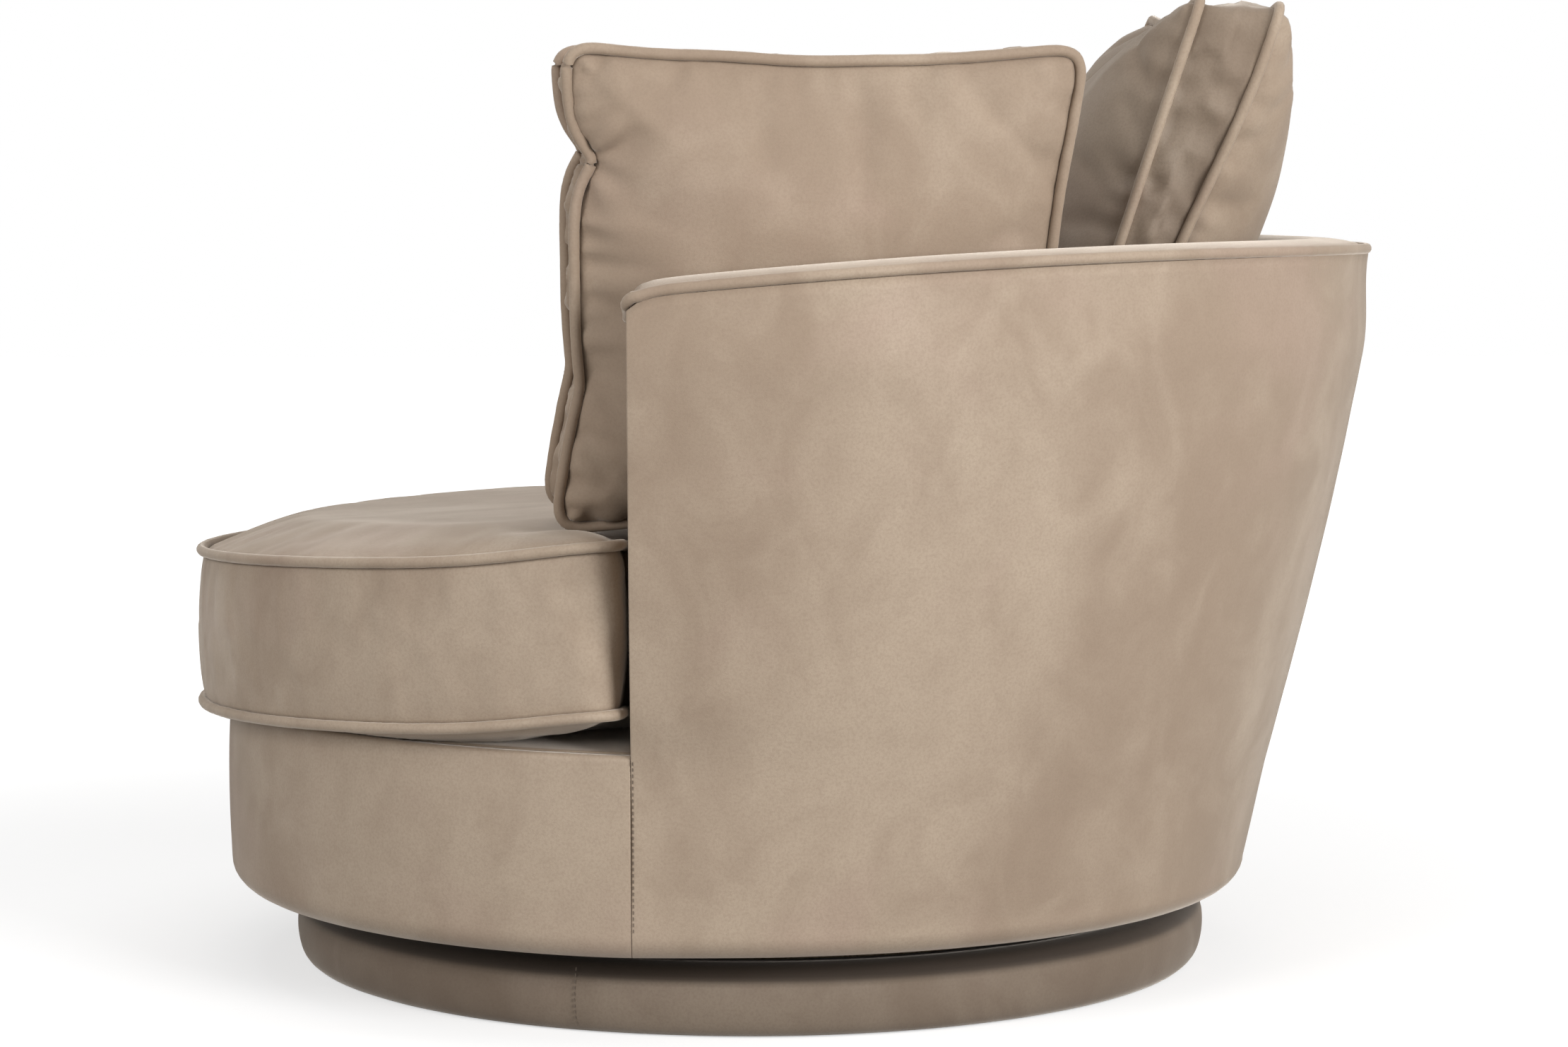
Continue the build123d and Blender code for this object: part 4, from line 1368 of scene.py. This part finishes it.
    def cord_line(self, side: float) -> list[Vector]:
        """Line of one piping cord, standing just outside the sewn edge.

        Args:
            side: 1 for the front edge and -1 for the back one.

        Returns:
            Points along the cord.
        """
        out = []
        line = resample(self.sewn_line, 3.5 * MM, True)
        count = len(line)
        line = [(line[i - 1] + 2 * line[i] + line[(i + 1) % count]) / 4 for i in range(count)]
        for i, p in enumerate(line):
            run = (line[(i + 1) % count] - line[i - 1]).normalized()
            spot = p + Vector((run.y, -run.x)) * (0.4 * self.piping_radius)
            out.append(self.placed(spot.x, spot.y, side * (self.border / 2 + 0.3 * self.piping_radius)))
        return out

    def zip_strip(self, piece: bpy.types.Object) -> tuple[list[Vector], list[list[int]]]:
        """The zip's tape and coil, laid on the finished border.

        Args:
            piece: the finished cushion.

        Returns:
            Points and faces.
        """
        mesh = piece.data
        border = BVHTree.FromPolygons([v.co for v in mesh.vertices], [f.vertices for f in mesh.polygons])
        line = [p for p in resample(self.sewn_line, 4.0 * MM, True) if abs(p.x) < self.zip_reach]
        line = sorted((p for p in line if self.zip_side * p.y > self.zip_reach / 2), key=lambda p: p.x)
        outer = [(-4.0, 0.5), (-1.6, 0.5), (-0.9, 1.2), (0.0, 1.5), (0.9, 1.2), (1.6, 0.5), (4.0, 0.5)]
        section = outer + [(4.0, -0.4), (-4.0, -0.4)]
        points = []
        for p in line:
            for beside, proud in section:
                spot, normal, _, _ = border.find_nearest(self.placed(p.x, p.y, beside * MM))
                points.append(spot + normal * proud * MM)
        return points, lofted(len(line), len(section), False)

    def build(self) -> None:
        """Makes the cushion, its two cords and its zip."""
        points, faces, sewn = self.start_shape()
        piece = make_piece(f"{self.name}_velvet", points, faces, self.velvet)
        held = set(sewn)
        sharp = piece.data.attributes.new("crease_edge", "FLOAT", "EDGE")
        for edge in piece.data.edges:
            along_seam = held.issuperset(edge.vertices)
            sharp.data[edge.index].value = self.gathers.edge_crease if along_seam else 0.0
        self.filled(piece, sewn)
        seams = self.cord_line(1.0) + self.cord_line(-1.0)
        self.finished(piece, seams)
        settle(piece, self.body, self.stands_for)
        cords: list[Vector] = []
        rings: list[list[int]] = []
        for side in (1.0, -1.0):
            ring_points, ring_faces = tube(self.cord_line(side), self.piping_radius, True)
            rings += [[n + len(cords) for n in f] for f in ring_faces]
            cords += ring_points
        made = make_piece(f"{self.name}_cords", cords, rings, self.velvet)
        settle(made, self.body, self.piping_nodes)
        points, faces = self.zip_strip(piece)
        made = make_piece(f"{self.name}_zip_tape", points, faces, self.trim)
        settle(made, self.body, [self.zip_node])


@dataclass
class SeatCushion:
    """The T-shaped seat cushion, with ears in front of the arms."""

    velvet: bpy.types.Material
    trim: bpy.types.Material
    front_radius: float = 0.5405
    rear_radius: float = 0.4165
    ear_y: float = -0.1145
    ear_round: float = 27.0 * MM
    notch_round: float = 12.0 * MM
    under_z: float = 0.2788
    border: float = 0.145
    crown: float = 21.0 * MM
    under_crown: float = 19.0 * MM
    deck_top: float = 0.2652
    deck_reach: float = 0.525
    sink: float = -21.0 * MM
    roll: float = 0.030
    pitch: float = 0.045
    ear_lift: float = 11.0 * MM
    pressed: tuple[tuple[float, float], ...] = ((0.345, 0.05), (-0.345, 0.05), (0.0, 0.31))
    press_depth: float = 13.0 * MM
    press_reach: float = 0.12

    def lie(self, spot: Vector) -> Vector:
        """Lays the cushion as it is left: tipped forward and to one side, with one ear riding up.

        Args:
            spot: a point of the level cushion.

        Returns:
            The same point as it lies.
        """
        middle = self.under_z + self.border / 2
        ear = Vector((0.525, self.ear_y)) - Vector((spot.x, spot.y))
        lift = self.sink + self.roll * spot.x + self.pitch * (spot.y + self.front_radius)
        lift += self.ear_lift * math.exp(-((ear.length / 0.11) ** 2))
        if spot.z > self.border / 2:
            inside = smooth_step(self.rear_radius - spot.xy.length, 8 * MM, 70 * MM)
            for x, y in self.pressed:
                away = math.hypot(spot.x - x, spot.y - y)
                lift -= self.press_depth * inside * math.exp(-((away / self.press_reach) ** 2))
        low = self.deck_top + 5.2 * MM - middle
        z = spot.z + lift
        if spot.xy.length < self.deck_reach:
            z = max(z, low - max(0.0, -spot.z - self.border / 2 - 2 * MM))
        return Vector((spot.x, spot.y, z))

    def on_deck(self, place: Vector) -> Vector:
        """Keeps the underside on the deck.

        Args:
            place: a point of the cushion.

        Returns:
            The point, no lower than the deck.
        """
        if place.xy.length < self.deck_reach:
            return Vector((place.x, place.y, max(place.z, self.deck_top)))
        return place

    def outline(self) -> list[Vector]:
        """Plan of the cushion, counter-clockwise.

        Returns:
            Points along the outline.
        """
        ear_x = math.sqrt(self.front_radius**2 - self.ear_y**2)
        notch_x = math.sqrt(self.rear_radius**2 - self.ear_y**2)
        ear = math.atan2(self.ear_y, ear_x)
        notch = math.atan2(self.ear_y, notch_x)
        line = []
        for i in range(200):
            turn = math.pi - ear + (2 * ear + math.pi) * i / 199
            line.append(Vector((self.front_radius * math.cos(turn), self.front_radius * math.sin(turn))))
        for i in range(200):
            turn = notch + (math.pi - 2 * notch) * i / 199
            line.append(Vector((self.rear_radius * math.cos(turn), self.rear_radius * math.sin(turn))))
        line = resample(line, 3.0 * MM, True)
        return rounded(line, [(ear_x, self.ear_y, self.ear_round), (notch_x, self.ear_y, self.notch_round)])

    def build(self) -> None:
        """Makes the cushion."""
        BoxedCushion(
            name="seat",
            body=Body.SEAT_CUSHION,
            outline=self.outline(),
            origin=Vector((0, 0, self.under_z + self.border / 2)),
            across=Vector((1, 0, 0)),
            along=Vector((0, 1, 0)),
            border=self.border,
            front_crown=self.crown,
            back_crown=self.under_crown,
            velvet=self.velvet,
            spacing=12.0 * MM,
            border_rows=12,
            dome_reach=0.2,
            back_reach=0.2,
            pressure=1.2,
            slack=0.004,
            cap=9.0 * MM,
            fill=0.9,
            seed=31.0,
            pucker=0.22,
            border_bulge=4.0 * MM,
            # Painted shade lightly darkens the seat's top face.
            front_shade=0.08,
            warp=self.lie,
            rest=self.on_deck,
            stands_for=["seat_cushion_cover", "seat_cushion_core"],
            piping_nodes=["seat_cushion_top_piping", "seat_cushion_bottom_piping"],
            trim=self.trim,
            zip_node="seat_cushion_zip",
            zip_side=1.0,
            zip_reach=0.3,
        ).build()


def rounded(line: list[Vector], corners: Sequence[tuple[float, float, float]]) -> list[Vector]:
    """Rounds an outline near given corners and their mirror images.

    Args:
        line: evenly spaced points of a closed outline.
        corners: place and radius of each corner to round.

    Returns:
        The rounded outline.
    """
    points = np.array([(p.x, p.y) for p in line])
    weight = np.zeros(len(points))
    for x, y, radius in corners:
        for side in (-1, 1):
            away = np.hypot(points[:, 0] - side * x, points[:, 1] - y)
            weight = np.maximum(weight, np.clip(1.6 - away / radius, 0, 1))
    for _ in range(90):
        middle = 0.5 * (np.roll(points, 1, axis=0) + np.roll(points, -1, axis=0))
        points += weight[:, None] * 0.5 * (middle - points)
    return [Vector((x, y)) for x, y in points]


@dataclass(frozen=True)
class Pinch:
    """A place where a cushion's edge is drawn in, as a hand leaves it."""

    side: int
    share: float
    depth: float
    width: float


@dataclass
class BackCushion:
    """One loose back cushion, placed on the box of its solid."""

    body: Body
    direction: float
    reach: float
    lean: float
    width: float
    height: float
    front_crown: float
    back_crown: float
    velvet: bpy.types.Material
    trim: bpy.types.Material
    seed: float
    dip: float = 13.0 * MM
    corner: float = 22.0 * MM
    border: float = 70.0 * MM
    pinches: tuple[Pinch, ...] = ()
    lift: float = 0.0
    slide: float = 0.0
    front_drop: float = 15.0 * MM
    back_lift: float = 0.0
    back_squeeze: float = 0.0
    border_bulge: float = 1.5 * MM
    pucker: float = 1.0
    # Painted shade on the border and on the front face.
    border_shade: float = 0.0
    front_shade: float = 0.0

    def slump(self, spot: Vector) -> Vector:
        """Slumps the cushion: its front face sags at the top and its back is pressed lower down.

        Args:
            spot: a point of the upright cushion.

        Returns:
            The same point as it slumps.
        """
        front = min(1.0, max(0.0, spot.z / self.border + 0.5))
        top = max(0.0, 2 * spot.y / self.height) ** 2
        pressed = 1 - smooth_step(spot.y, -0.05, 0.2)
        y = spot.y + top * (self.back_lift * (1 - front) - self.front_drop * front)
        return Vector((spot.x, y, spot.z + self.back_squeeze * (1 - front) * pressed))

    def fold_places(self) -> list[tuple[float, float]]:
        """Places on the edge that folds fan out from.

        Returns:
            Plane coordinates of each place.
        """
        w, h = self.width / 2, self.height / 2
        places = []
        for pinch in self.pinches:
            if pinch.width < 0.1:
                along = h * (2 * pinch.share - 1)
                places.append((w - pinch.depth, along) if pinch.side == 1 else (pinch.depth - w, -along))
        return places

    def outline(self) -> list[Vector]:
        """Outline with drawn-in sides, counter-clockwise from the lower left corner.

        Returns:
            Points along the outline.
        """
        w, h = self.width / 2, self.height / 2
        corners = [Vector((-w, -h)), Vector((w, -h)), Vector((w, h)), Vector((-w, h))]
        line = []
        for side, start in enumerate(corners):
            end = corners[(side + 1) % 4]
            inwards = -(start + end).normalized()
            for i in range(120):
                share = i / 120
                dip = self.dip * math.sin(math.pi * share) ** 0.8
                dip += 2.0 * MM * noise.noise(Vector((self.seed, side * 7.0, share * 5.0)))
                for pinch in self.pinches:
                    if pinch.side == side:
                        dip += pinch.depth * math.exp(-abs((share - pinch.share) / pinch.width) ** 1.4)
                line.append(start.lerp(end, share) + inwards * dip)
        line = resample(line, 2.5 * MM, True)
        return rounded(line, [(w, -h, self.corner), (w, h, self.corner)])

    def build(self) -> None:
        """Makes the cushion."""
        name = self.body.value
        turn, lean = math.radians(self.direction), math.radians(self.lean)
        out = Vector((math.cos(turn), math.sin(turn), 0))
        across = Vector((math.sin(turn), -math.cos(turn), 0))
        along = out * math.sin(lean) + Vector((0, 0, math.cos(lean)))
        low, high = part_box(f"{name}_pipings")
        centre = out * self.reach + across * self.slide + Vector((0, 0, (low.z + high.z) / 2 + self.lift))
        BoxedCushion(
            name=name,
            body=self.body,
            outline=self.outline(),
            origin=centre,
            across=across,
            along=along,
            border=self.border,
            front_crown=0.8 * self.front_crown,
            back_crown=0.8 * self.back_crown,
            velvet=self.velvet,
            seed=self.seed,
            warp=self.slump,
            border_bulge=self.border_bulge,
            pucker=self.pucker,
            border_shade=self.border_shade,
            front_shade=self.front_shade,
            folds=self.fold_places(),
            stands_for=[f"{name}_cover", f"{name}_filling"],
            piping_nodes=[f"{name}_pipings"],
            trim=self.trim,
            zip_node=f"{name}_zip",
        ).build()


@dataclass
class Deck:
    """The velvet-covered platform under the seat cushion."""

    wall: Wall
    velvet: bpy.types.Material
    front_radius: float = 0.5003
    back_radius: float = 0.4225
    top: float = 0.2648
    depth: float = 10.5 * MM
    sag: float = 1.5 * MM
    edge_round: float = 1.0 * MM
    middle_y: float = -0.15
    arc_steps: int = 120

    def outline(self) -> list[Vector]:
        """Plan of the platform, wider in front of the arms than between them.

        Returns:
            Points along the outline.
        """
        edge = self.wall.arm_front - 1.0 * MM
        line = []
        for radius, start, side in ((self.back_radius, 0.0, 1), (self.front_radius, math.pi, -1)):
            lean = side * math.asin(edge / radius)
            for i in range(self.arc_steps):
                turn = start + lean + (math.pi - 2 * lean) * i / (self.arc_steps - 1)
                line.append(Vector((radius * math.cos(turn), radius * math.sin(turn), 0)))
        return line

    def build(self) -> None:
        """Makes the platform pad."""
        rings = [1.0, 0.985, 0.9, 0.75, 0.55, 0.35, 0.15]
        line = self.outline()
        middle = Vector((0, self.middle_y, 0))
        points = []
        for level, order in ((self.top, rings[::-1]), (self.top - self.depth, rings)):
            sign = 1 if level == self.top else -1
            for ring in order:
                sag = self.sag * (1 - ring) if level == self.top else 0.0
                edge = self.edge_round if ring == 1.0 else 0.0
                for place in line:
                    spot = middle.lerp(place, ring)
                    lift = 0.4 * MM * ripple(spot, 9.0, 2.0) * (1 - ring)
                    points.append(Vector((spot.x, spot.y, level - sign * edge - sag + lift)))
        made = make_piece("deck_platform", points, lofted(2 * len(rings), len(line), False), self.velvet)
        settle(made, Body.SEAT_FRAME, ["deck_cover", "deck_pad"])


@dataclass
class DustCover:
    """Black lining cloth stapled under the seat board."""

    cloth: bpy.types.Material
    hole_radius: float = 0.2
    sag: float = 1.2 * MM
    steps: int = 160
    rings: int = 14

    def build(self) -> None:
        """Makes the lining cloth."""
        low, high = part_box("base_dust_cover")
        outer, inner = high.x, self.hole_radius
        points = []
        for level in (low.z, high.z):
            order = range(self.rings + 1) if level == low.z else range(self.rings, -1, -1)
            for r in order:
                radius = inner + (outer - inner) * r / self.rings
                hang = self.sag * math.sin(math.pi * r / self.rings)
                for i in range(self.steps):
                    turn = 2 * math.pi * i / self.steps
                    spot = Vector((radius * math.cos(turn), radius * math.sin(turn), 0))
                    slack = 0.4 + 0.3 * ripple(spot, 8.0, 9.0)
                    points.append(Vector((spot.x, spot.y, level - hang * slack)))
        made = make_piece("lining_cloth", points, lofted(2 * self.rings + 2, self.steps, True), self.cloth)
        settle(made, Body.SEAT_FRAME, ["base_dust_cover"])
        2 * outer
        2 * outer
        math.pi * (outer**2 - inner**2)


class StitchRow:
    """Geometry Nodes tree that lays one stitch after another along a line."""

    def __init__(self, pitch: float, length: float, girth: float) -> None:
        """Builds the tree with its sizes as inputs.

        Args:
            pitch: distance between stitches.
            length: length of one stitch.
            girth: radius of the thread.
        """
        self.sizes = {"Pitch": pitch, "Length": length, "Girth": girth}
        self.tree = bpy.data.node_groups.new("stitch_row", "GeometryNodeTree")
        face = self.tree.interface
        face.new_socket("Geometry", in_out="INPUT", socket_type="NodeSocketGeometry")
        self.inputs = {
            name: face.new_socket(name, in_out="INPUT", socket_type="NodeSocketFloat").identifier
            for name in self.sizes
        }
        self.thread = face.new_socket("Thread", in_out="INPUT", socket_type="NodeSocketMaterial").identifier
        face.new_socket("Geometry", in_out="OUTPUT", socket_type="NodeSocketGeometry")
        self._wire()

    def _wire(self) -> None:
        """Adds and links the nodes."""
        add = self.tree.nodes.new
        link = self.tree.links.new
        start, end = add("NodeGroupInput"), add("NodeGroupOutput")
        spaced = add("GeometryNodeResampleCurve")
        spaced.mode = "LENGTH"
        link(start.outputs["Geometry"], spaced.inputs["Curve"])
        link(start.outputs["Pitch"], spaced.inputs["Length"])
        tangent = add("GeometryNodeInputTangent")
        aim = add("FunctionNodeAlignRotationToVector")
        aim.axis = "Z"
        link(tangent.outputs[0], aim.inputs["Vector"])
        stitch = add("GeometryNodeMeshCylinder")
        stitch.inputs["Vertices"].default_value = 6
        link(start.outputs["Girth"], stitch.inputs["Radius"])
        link(start.outputs["Length"], stitch.inputs["Depth"])
        laid = add("GeometryNodeInstanceOnPoints")
        link(spaced.outputs["Curve"], laid.inputs["Points"])
        link(stitch.outputs["Mesh"], laid.inputs["Instance"])
        link(aim.outputs["Rotation"], laid.inputs["Rotation"])
        real = add("GeometryNodeRealizeInstances")
        link(laid.outputs["Instances"], real.inputs["Geometry"])
        dressed = add("GeometryNodeSetMaterial")
        link(real.outputs["Geometry"], dressed.inputs["Geometry"])
        link(start.outputs["Thread"], dressed.inputs["Material"])
        link(dressed.outputs["Geometry"], end.inputs["Geometry"])

    def lay(
        self, name: str, lines: Sequence[Sequence[Vector]], thread: bpy.types.Material
    ) -> bpy.types.Object:
        """Lays stitches along some lines.

        Args:
            name: the piece's name.
            lines: points along each row.
            thread: the thread's finish.

        Returns:
            A plain mesh of the stitches.
        """
        curve = bpy.data.curves.new(name, "CURVE")
        curve.dimensions = "3D"
        for line in lines:
            spline = curve.splines.new("POLY")
            spline.points.add(len(line) - 1)
            for point, place in zip(spline.points, line):
                point.co = (*place, 1.0)
        row = bpy.data.objects.new(f"{name}_line", curve)
        bpy.context.scene.collection.objects.link(row)
        modifier = row.modifiers.new("stitches", "NODES")
        modifier.node_group = self.tree
        for size, identifier in self.inputs.items():
            modifier[identifier] = self.sizes[size]
        modifier[self.thread] = thread
        graph = bpy.context.evaluated_depsgraph_get()
        mesh = bpy.data.meshes.new_from_object(row.evaluated_get(graph))
        mesh.name = name
        bpy.data.objects.remove(row)
        made = bpy.data.objects.new(name, mesh)
        bpy.context.scene.collection.objects.link(made)
        return made


@dataclass
class Stitching:
    """Visible rows of thread: the upright seams beside the arms and the seam of the plinth's sleeve."""

    wall: Wall
    plinth: Plinth
    thread: bpy.types.Material
    seam_low: float = 0.108
    seam_high: float = 0.258

    def arm_seams(self) -> list[list[Vector]]:
        """Lines of the two upright seams below the arm fronts.

        Returns:
            Points along each seam.
        """
        lines = []
        for side in (-1, 1):
            line = []
            for i in range(40):
                z = self.seam_low + (self.seam_high - self.seam_low) * i / 39
                y = self.wall.arm_front + 1.8 * MM
                radius = self.wall.face(z, y) + 0.3 * MM
                line.append(Vector((side * math.sqrt(radius**2 - y**2), y, z)))
            lines.append(line)
        return lines

    def plinth_seam(self) -> list[list[Vector]]:
        """Line of the sleeve's upright seam.

        Returns:
            Points along the seam, as the only row.
        """
        line = []
        for i in range(30):
            share = 0.12 + 0.76 * i / 29
            radius = self.plinth.edge + self.plinth.bulge * math.sin(math.pi * share) ** 0.8 - 0.3 * MM
            turn = self.plinth.seam_angle + 3.2 * MM / radius
            z = self.plinth.low + (self.plinth.high - self.plinth.low) * share
            line.append(Vector((radius * math.cos(turn), radius * math.sin(turn), z)))
        return [line]

    def build(self) -> None:
        """Lays the rows."""
        row = StitchRow(5.4 * MM, 3.0 * MM, 0.45 * MM)
        settle(row.lay("arm_seam_stitches", self.arm_seams(), self.thread), Body.SEAT_FRAME)
        settle(row.lay("plinth_seam_stitches", self.plinth_seam(), self.thread), Body.BASE)


@dataclass
class Joinery:
    """Finishes of the wooden, metal and plastic pieces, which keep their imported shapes."""

    nodes: dict[str, bpy.types.Object]

    def dress(self) -> None:
        """Gives each rigid piece its finish."""
        ply = Plywood().material()
        zinc = Metal("zinc_plate", (0.62, 0.62, 0.60), (0.42, 0.42, 0.40), 0.95, 0.28).material()
        black = Metal("black_lacquer", (0.03, 0.03, 0.032), (0.06, 0.058, 0.055), 0.4, 0.35).material()
        nylon = Moulding("black_nylon", (0.03, 0.03, 0.032)).material()
        wooden = ("board", "blocks", "hoop", "panel", "posts", "rail", "ribs")
        plated = ("screws", "bolt", "bolts", "nut", "nuts", "washer", "balls", "clips")
        lacquered = ("plate", "springs")
        for name, piece in self.nodes.items():
            last = name.split("_")[-1]
            finish = nylon
            if last in wooden:
                finish = ply
            elif last in plated:
                finish = zinc
            elif last in lacquered:
                finish = black
            piece.data.materials.clear()
            piece.data.materials.append(finish)


@dataclass
class Studio:
    """White paper floor, soft lights and the camera."""

    camera_place: tuple[float, float, float] = (3.9, 0.0, 0.756)
    lens: float = 90.0
    pitch: float = 4.85
    yaw: float = 0.49

    def lamp(self, name: str, place: Colour, aim: Colour, size: float, power: float) -> None:
        """Adds a square softbox.

        Args:
            name: the lamp's name.
            place: where it hangs.
            aim: what it points at.
            size: side length.
            power: watts.
        """
        data = bpy.data.lights.new(name, "AREA")
        data.size = size
        data.energy = power
        made = bpy.data.objects.new(name, data)
        bpy.context.scene.collection.objects.link(made)
        made.location = place
        made.rotation_euler = (Vector(aim) - Vector(place)).to_track_quat("-Z", "Y").to_euler()

    def world(self) -> None:
        """Lights the room evenly and shows it white."""
        world = bpy.data.worlds.new("studio")
        world.use_nodes = True
        tree = world.node_tree
        tree.nodes.clear()
        add, link = tree.nodes.new, tree.links.new
        room, white = add("ShaderNodeBackground"), add("ShaderNodeBackground")
        room.inputs["Strength"].default_value = 0.3
        room.inputs["Color"].default_value = (1.0, 0.99, 0.975, 1.0)
        white.inputs["Color"].default_value = (1.0, 1.0, 1.0, 1.0)
        chosen, out = add("ShaderNodeMixShader"), add("ShaderNodeOutputWorld")
        path = add("ShaderNodeLightPath")
        seen = path.outputs["Is Camera Ray"]
        for kind in ("Is Glossy Ray", "Is Transmission Ray"):
            either = add("ShaderNodeMath")
            either.operation = "MAXIMUM"
            link(seen, either.inputs[0])
            link(path.outputs[kind], either.inputs[1])
            seen = either.outputs[0]
        link(seen, chosen.inputs[0])
        link(room.outputs[0], chosen.inputs[1])
        link(white.outputs[0], chosen.inputs[2])
        link(chosen.outputs[0], out.inputs["Surface"])
        bpy.context.scene.world = world

    def build(self) -> None:
        """Sets up the floor, the lights and the camera."""
        scene = bpy.context.scene
        scene.view_settings.view_transform = "Standard"
        self.world()
        side = 14.0
        corners = [(-side, -side, 0), (side, -side, 0), (side, side, 0), (-side, side, 0)]
        mesh = bpy.data.meshes.new("paper_floor")
        mesh.from_pydata(corners, [], [(0, 1, 2, 3)])
        mesh.materials.append(StudioFloor().material())
        floor = bpy.data.objects.new("paper_floor", mesh)
        scene.collection.objects.link(floor)
        self.lamp("key", (3.1, 2.3, 1.35), (0.3, 0.0, 0.55), 1.5, 114.0)
        self.lamp("side", (1.0, 3.4, 1.6), (0.0, 0.3, 0.5), 1.6, 34.0)
        self.lamp("fill", (2.8, -2.4, 1.7), (0.3, -0.2, 0.45), 1.8, 68.0)
        self.lamp("top", (-0.4, -0.2, 3.0), (0.0, 0.0, 0.4), 2.4, 24.0)
        data = bpy.data.cameras.new("camera")
        data.sensor_width = 36.0
        data.lens = self.lens
        camera = bpy.data.objects.new("camera", data)
        scene.collection.objects.link(camera)
        camera.location = self.camera_place
        pitch, yaw = math.radians(self.pitch), math.radians(self.yaw)
        level = math.cos(pitch)
        ahead = Vector((-level * math.cos(yaw), level * math.sin(yaw), -math.sin(pitch)))
        camera.rotation_euler = ahead.to_track_quat("-Z", "Y").to_euler()
        scene.camera = camera


def main() -> None:
    """Builds every piece of the chair and reports it."""
    logging.basicConfig(level=logging.INFO, format="%(name)s %(message)s")
    for left_over in list(bpy.data.objects):
        bpy.data.objects.remove(left_over)
    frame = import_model()
    Studio().build()
    velvet = Velvet().material()
    wall = Wall()
    Joinery(frame["nodes"]).dress()
    plinth = Plinth(velvet)
    plinth.build()
    Apron(wall, velvet).build()
    BackAndArms(wall, velvet).build()
    Deck(wall, velvet).build()
    DustCover(Moulding("black_lining", (0.018, 0.018, 0.018), 700.0, 0.3 * MM, 0.8).material()).build()
    trim = Moulding("taupe_zip", (0.12, 0.09, 0.065)).material()
    SeatCushion(velvet, trim).build()
    side = {"reach": 0.406, "lean": 12.0, "height": 0.432, "velvet": velvet, "trim": trim}
    crowns = {"front_crown": 0.082, "back_crown": 0.046}
    BackCushion(
        Body.LEFT,
        9.0,
        **side,
        **crowns,
        width=0.457,
        seed=2.0,
        pinches=(Pinch(1, 0.77, 0.018, 0.05), Pinch(1, 0.3, 0.010, 0.1), Pinch(3, 0.62, 0.016, 0.3)),
        lift=18.0 * MM,
        slide=9.0 * MM,
        border_bulge=3.5 * MM,
        pucker=1.5,
    ).build()
    BackCushion(
        Body.RIGHT,
        171.0,
        **side,
        **crowns,
        width=0.445,
        seed=12.0,
        pinches=(Pinch(3, 0.3, 0.012, 0.06),),
        lift=-12.0 * MM,
    ).build()
    BackCushion(
        Body.REAR,
        90.0,
        0.382,
        18.0,
        0.463,
        0.474,
        0.082,
        0.083,
        velvet,
        trim,
        22.0,
        pinches=(Pinch(2, 0.6, 0.005, 0.3),),
        lift=20.0 * MM,
        front_drop=0.0,
        back_lift=17.0 * MM,
        back_squeeze=22.0 * MM,
        # Painted shade: the rear cushion's border and front face are darkened as if in shadow.
        border_shade=0.45,
        front_shade=0.42,
    ).build()
    Stitching(wall, plinth, Moulding("taupe_thread", (0.10, 0.075, 0.055)).material()).build()


if __name__ == "__main__":
    main()
